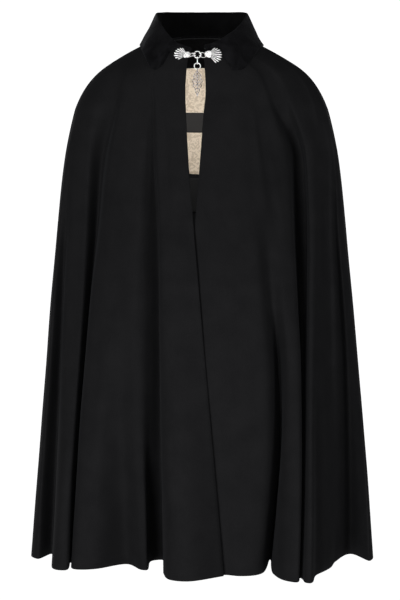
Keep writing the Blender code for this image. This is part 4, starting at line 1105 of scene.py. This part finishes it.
metal.bead((RX, CLASP_Y, top_z - DROP_H * 0.985), 0.85 * MM, 7, 10)
pendant_piece = metal.object("pendant_leaf", "pendant", "pendant")


# ---------------------------------------------------------------- stage and light
def cyclorama():
    """A round pale floor that curves up into a wall all round."""
    floor_z, wall_r, r, n = -2.30, 9.0, 1.8, 64
    prof = [(2.0, floor_z), (5.0, floor_z)]
    for i in range(13):
        a = math.pi / 2 * i / 12
        prof.append((wall_r - r + r * math.sin(a), floor_z + r - r * math.cos(a)))
    prof.append((wall_r, 8.0))
    verts = [(0.0, 0.0, floor_z)]
    faces = []
    for d, z in prof:
        verts += [(d * math.sin(2 * math.pi * j / n), -d * math.cos(2 * math.pi * j / n), z) for j in range(n)]
    for j in range(n):
        faces.append((0, 1 + j, 1 + (j + 1) % n))
        for i in range(len(prof) - 1):
            q, w = 1 + i * n, 1 + (i + 1) * n
            faces.append((q + j, w + j, w + (j + 1) % n, q + (j + 1) % n))
    mesh = bpy.data.meshes.new("stage_floor")
    mesh.from_pydata(verts, [], faces)
    mesh.shade_smooth()
    obj = bpy.data.objects.new("stage_floor", mesh)
    bpy.context.scene.collection.objects.link(obj)
    m, t, b = principled("stage_paper", (0.92, 0.92, 0.92), 0.9)
    b.inputs["Emission Color"].default_value = (1, 1, 1, 1)
    b.inputs["Emission Strength"].default_value = 1.0
    b.inputs["Specular IOR Level"].default_value = 0.0
    mesh.materials.append(m)
    return obj


stage = cyclorama()
stage.visible_diffuse = False
stage.visible_glossy = False


def softbox(name, loc, target, size, power, tint=(1, 1, 1)):
    light = bpy.data.lights.new(name, "AREA")
    light.shape = "RECTANGLE"
    light.size, light.size_y = size
    light.energy = power
    light.color = tint
    obj = bpy.data.objects.new(name, light)
    obj.location = loc
    way = Vector(target) - Vector(loc)
    obj.rotation_euler = way.to_track_quat("-Z", "Y").to_euler()
    bpy.context.scene.collection.objects.link(obj)
    return obj


softbox("key", (-0.95, -3.2, -1.25), (0.0, 0.0, -0.66), (0.8, 0.5), 82.0)
softbox("fill", (2.3, -2.6, -0.80), (0.0, 0.0, -0.5), (1.2, 0.8), 22.0)
softbox("front", (0.0, -3.5, -1.10), (0.0, 0.0, -0.6), (0.6, 0.5), 13.0)
softbox("back_right", (-2.1, 2.7, -0.2), (0.0, 0.0, -0.5), (1.2, 1.0), 26.0)
softbox("back_left", (1.9, 3.0, -0.1), (0.0, 0.0, -0.5), (1.2, 1.0), 20.0)
for x in (-0.13, 0.13):
    softbox("inside_%s" % ("left" if x > 0 else "right"), (x, -0.045, -0.13), (0.0, 0.11, -0.13), (0.04, 0.22), 0.30)

card_rows = []
for i in range(13):
    up = math.radians(-48 + 118 * i / 12)
    card_rows.append([(5.0 * math.cos(up) * math.sin(t_), -5.0 * math.cos(up) * math.cos(t_), 5.0 * math.sin(up) - 0.4)
                      for t_ in (math.radians(-105 + 210 * j / 20) for j in range(21))])
card_mesh = bpy.data.meshes.new("mirror_screen")
card_mesh.from_pydata([q for row in card_rows for q in row], [],
                      [(i * 21 + j, i * 21 + j + 1, (i + 1) * 21 + j + 1, (i + 1) * 21 + j) for i in range(12) for j in range(20)])
card = bpy.data.objects.new("mirror_screen", card_mesh)
bpy.context.scene.collection.objects.link(card)
card_m, card_t, card_b = principled("card_paper", (0.9, 0.9, 0.9), 0.9)
card_b.inputs["Emission Color"].default_value = (1, 1, 1, 1)
card_b.inputs["Emission Strength"].default_value = 0.75
card_mesh.materials.append(card_m)
card.visible_camera = card.visible_diffuse = card.visible_shadow = False

world = bpy.data.worlds.new("studio")
world.use_nodes = True
world.node_tree.nodes["Background"].inputs["Color"].default_value = (1, 1, 1, 1)
world.node_tree.nodes["Background"].inputs["Strength"].default_value = 0.05
bpy.context.scene.world = world
bpy.context.scene.view_settings.view_transform = "Standard"
bpy.context.scene.view_settings.look = "None"
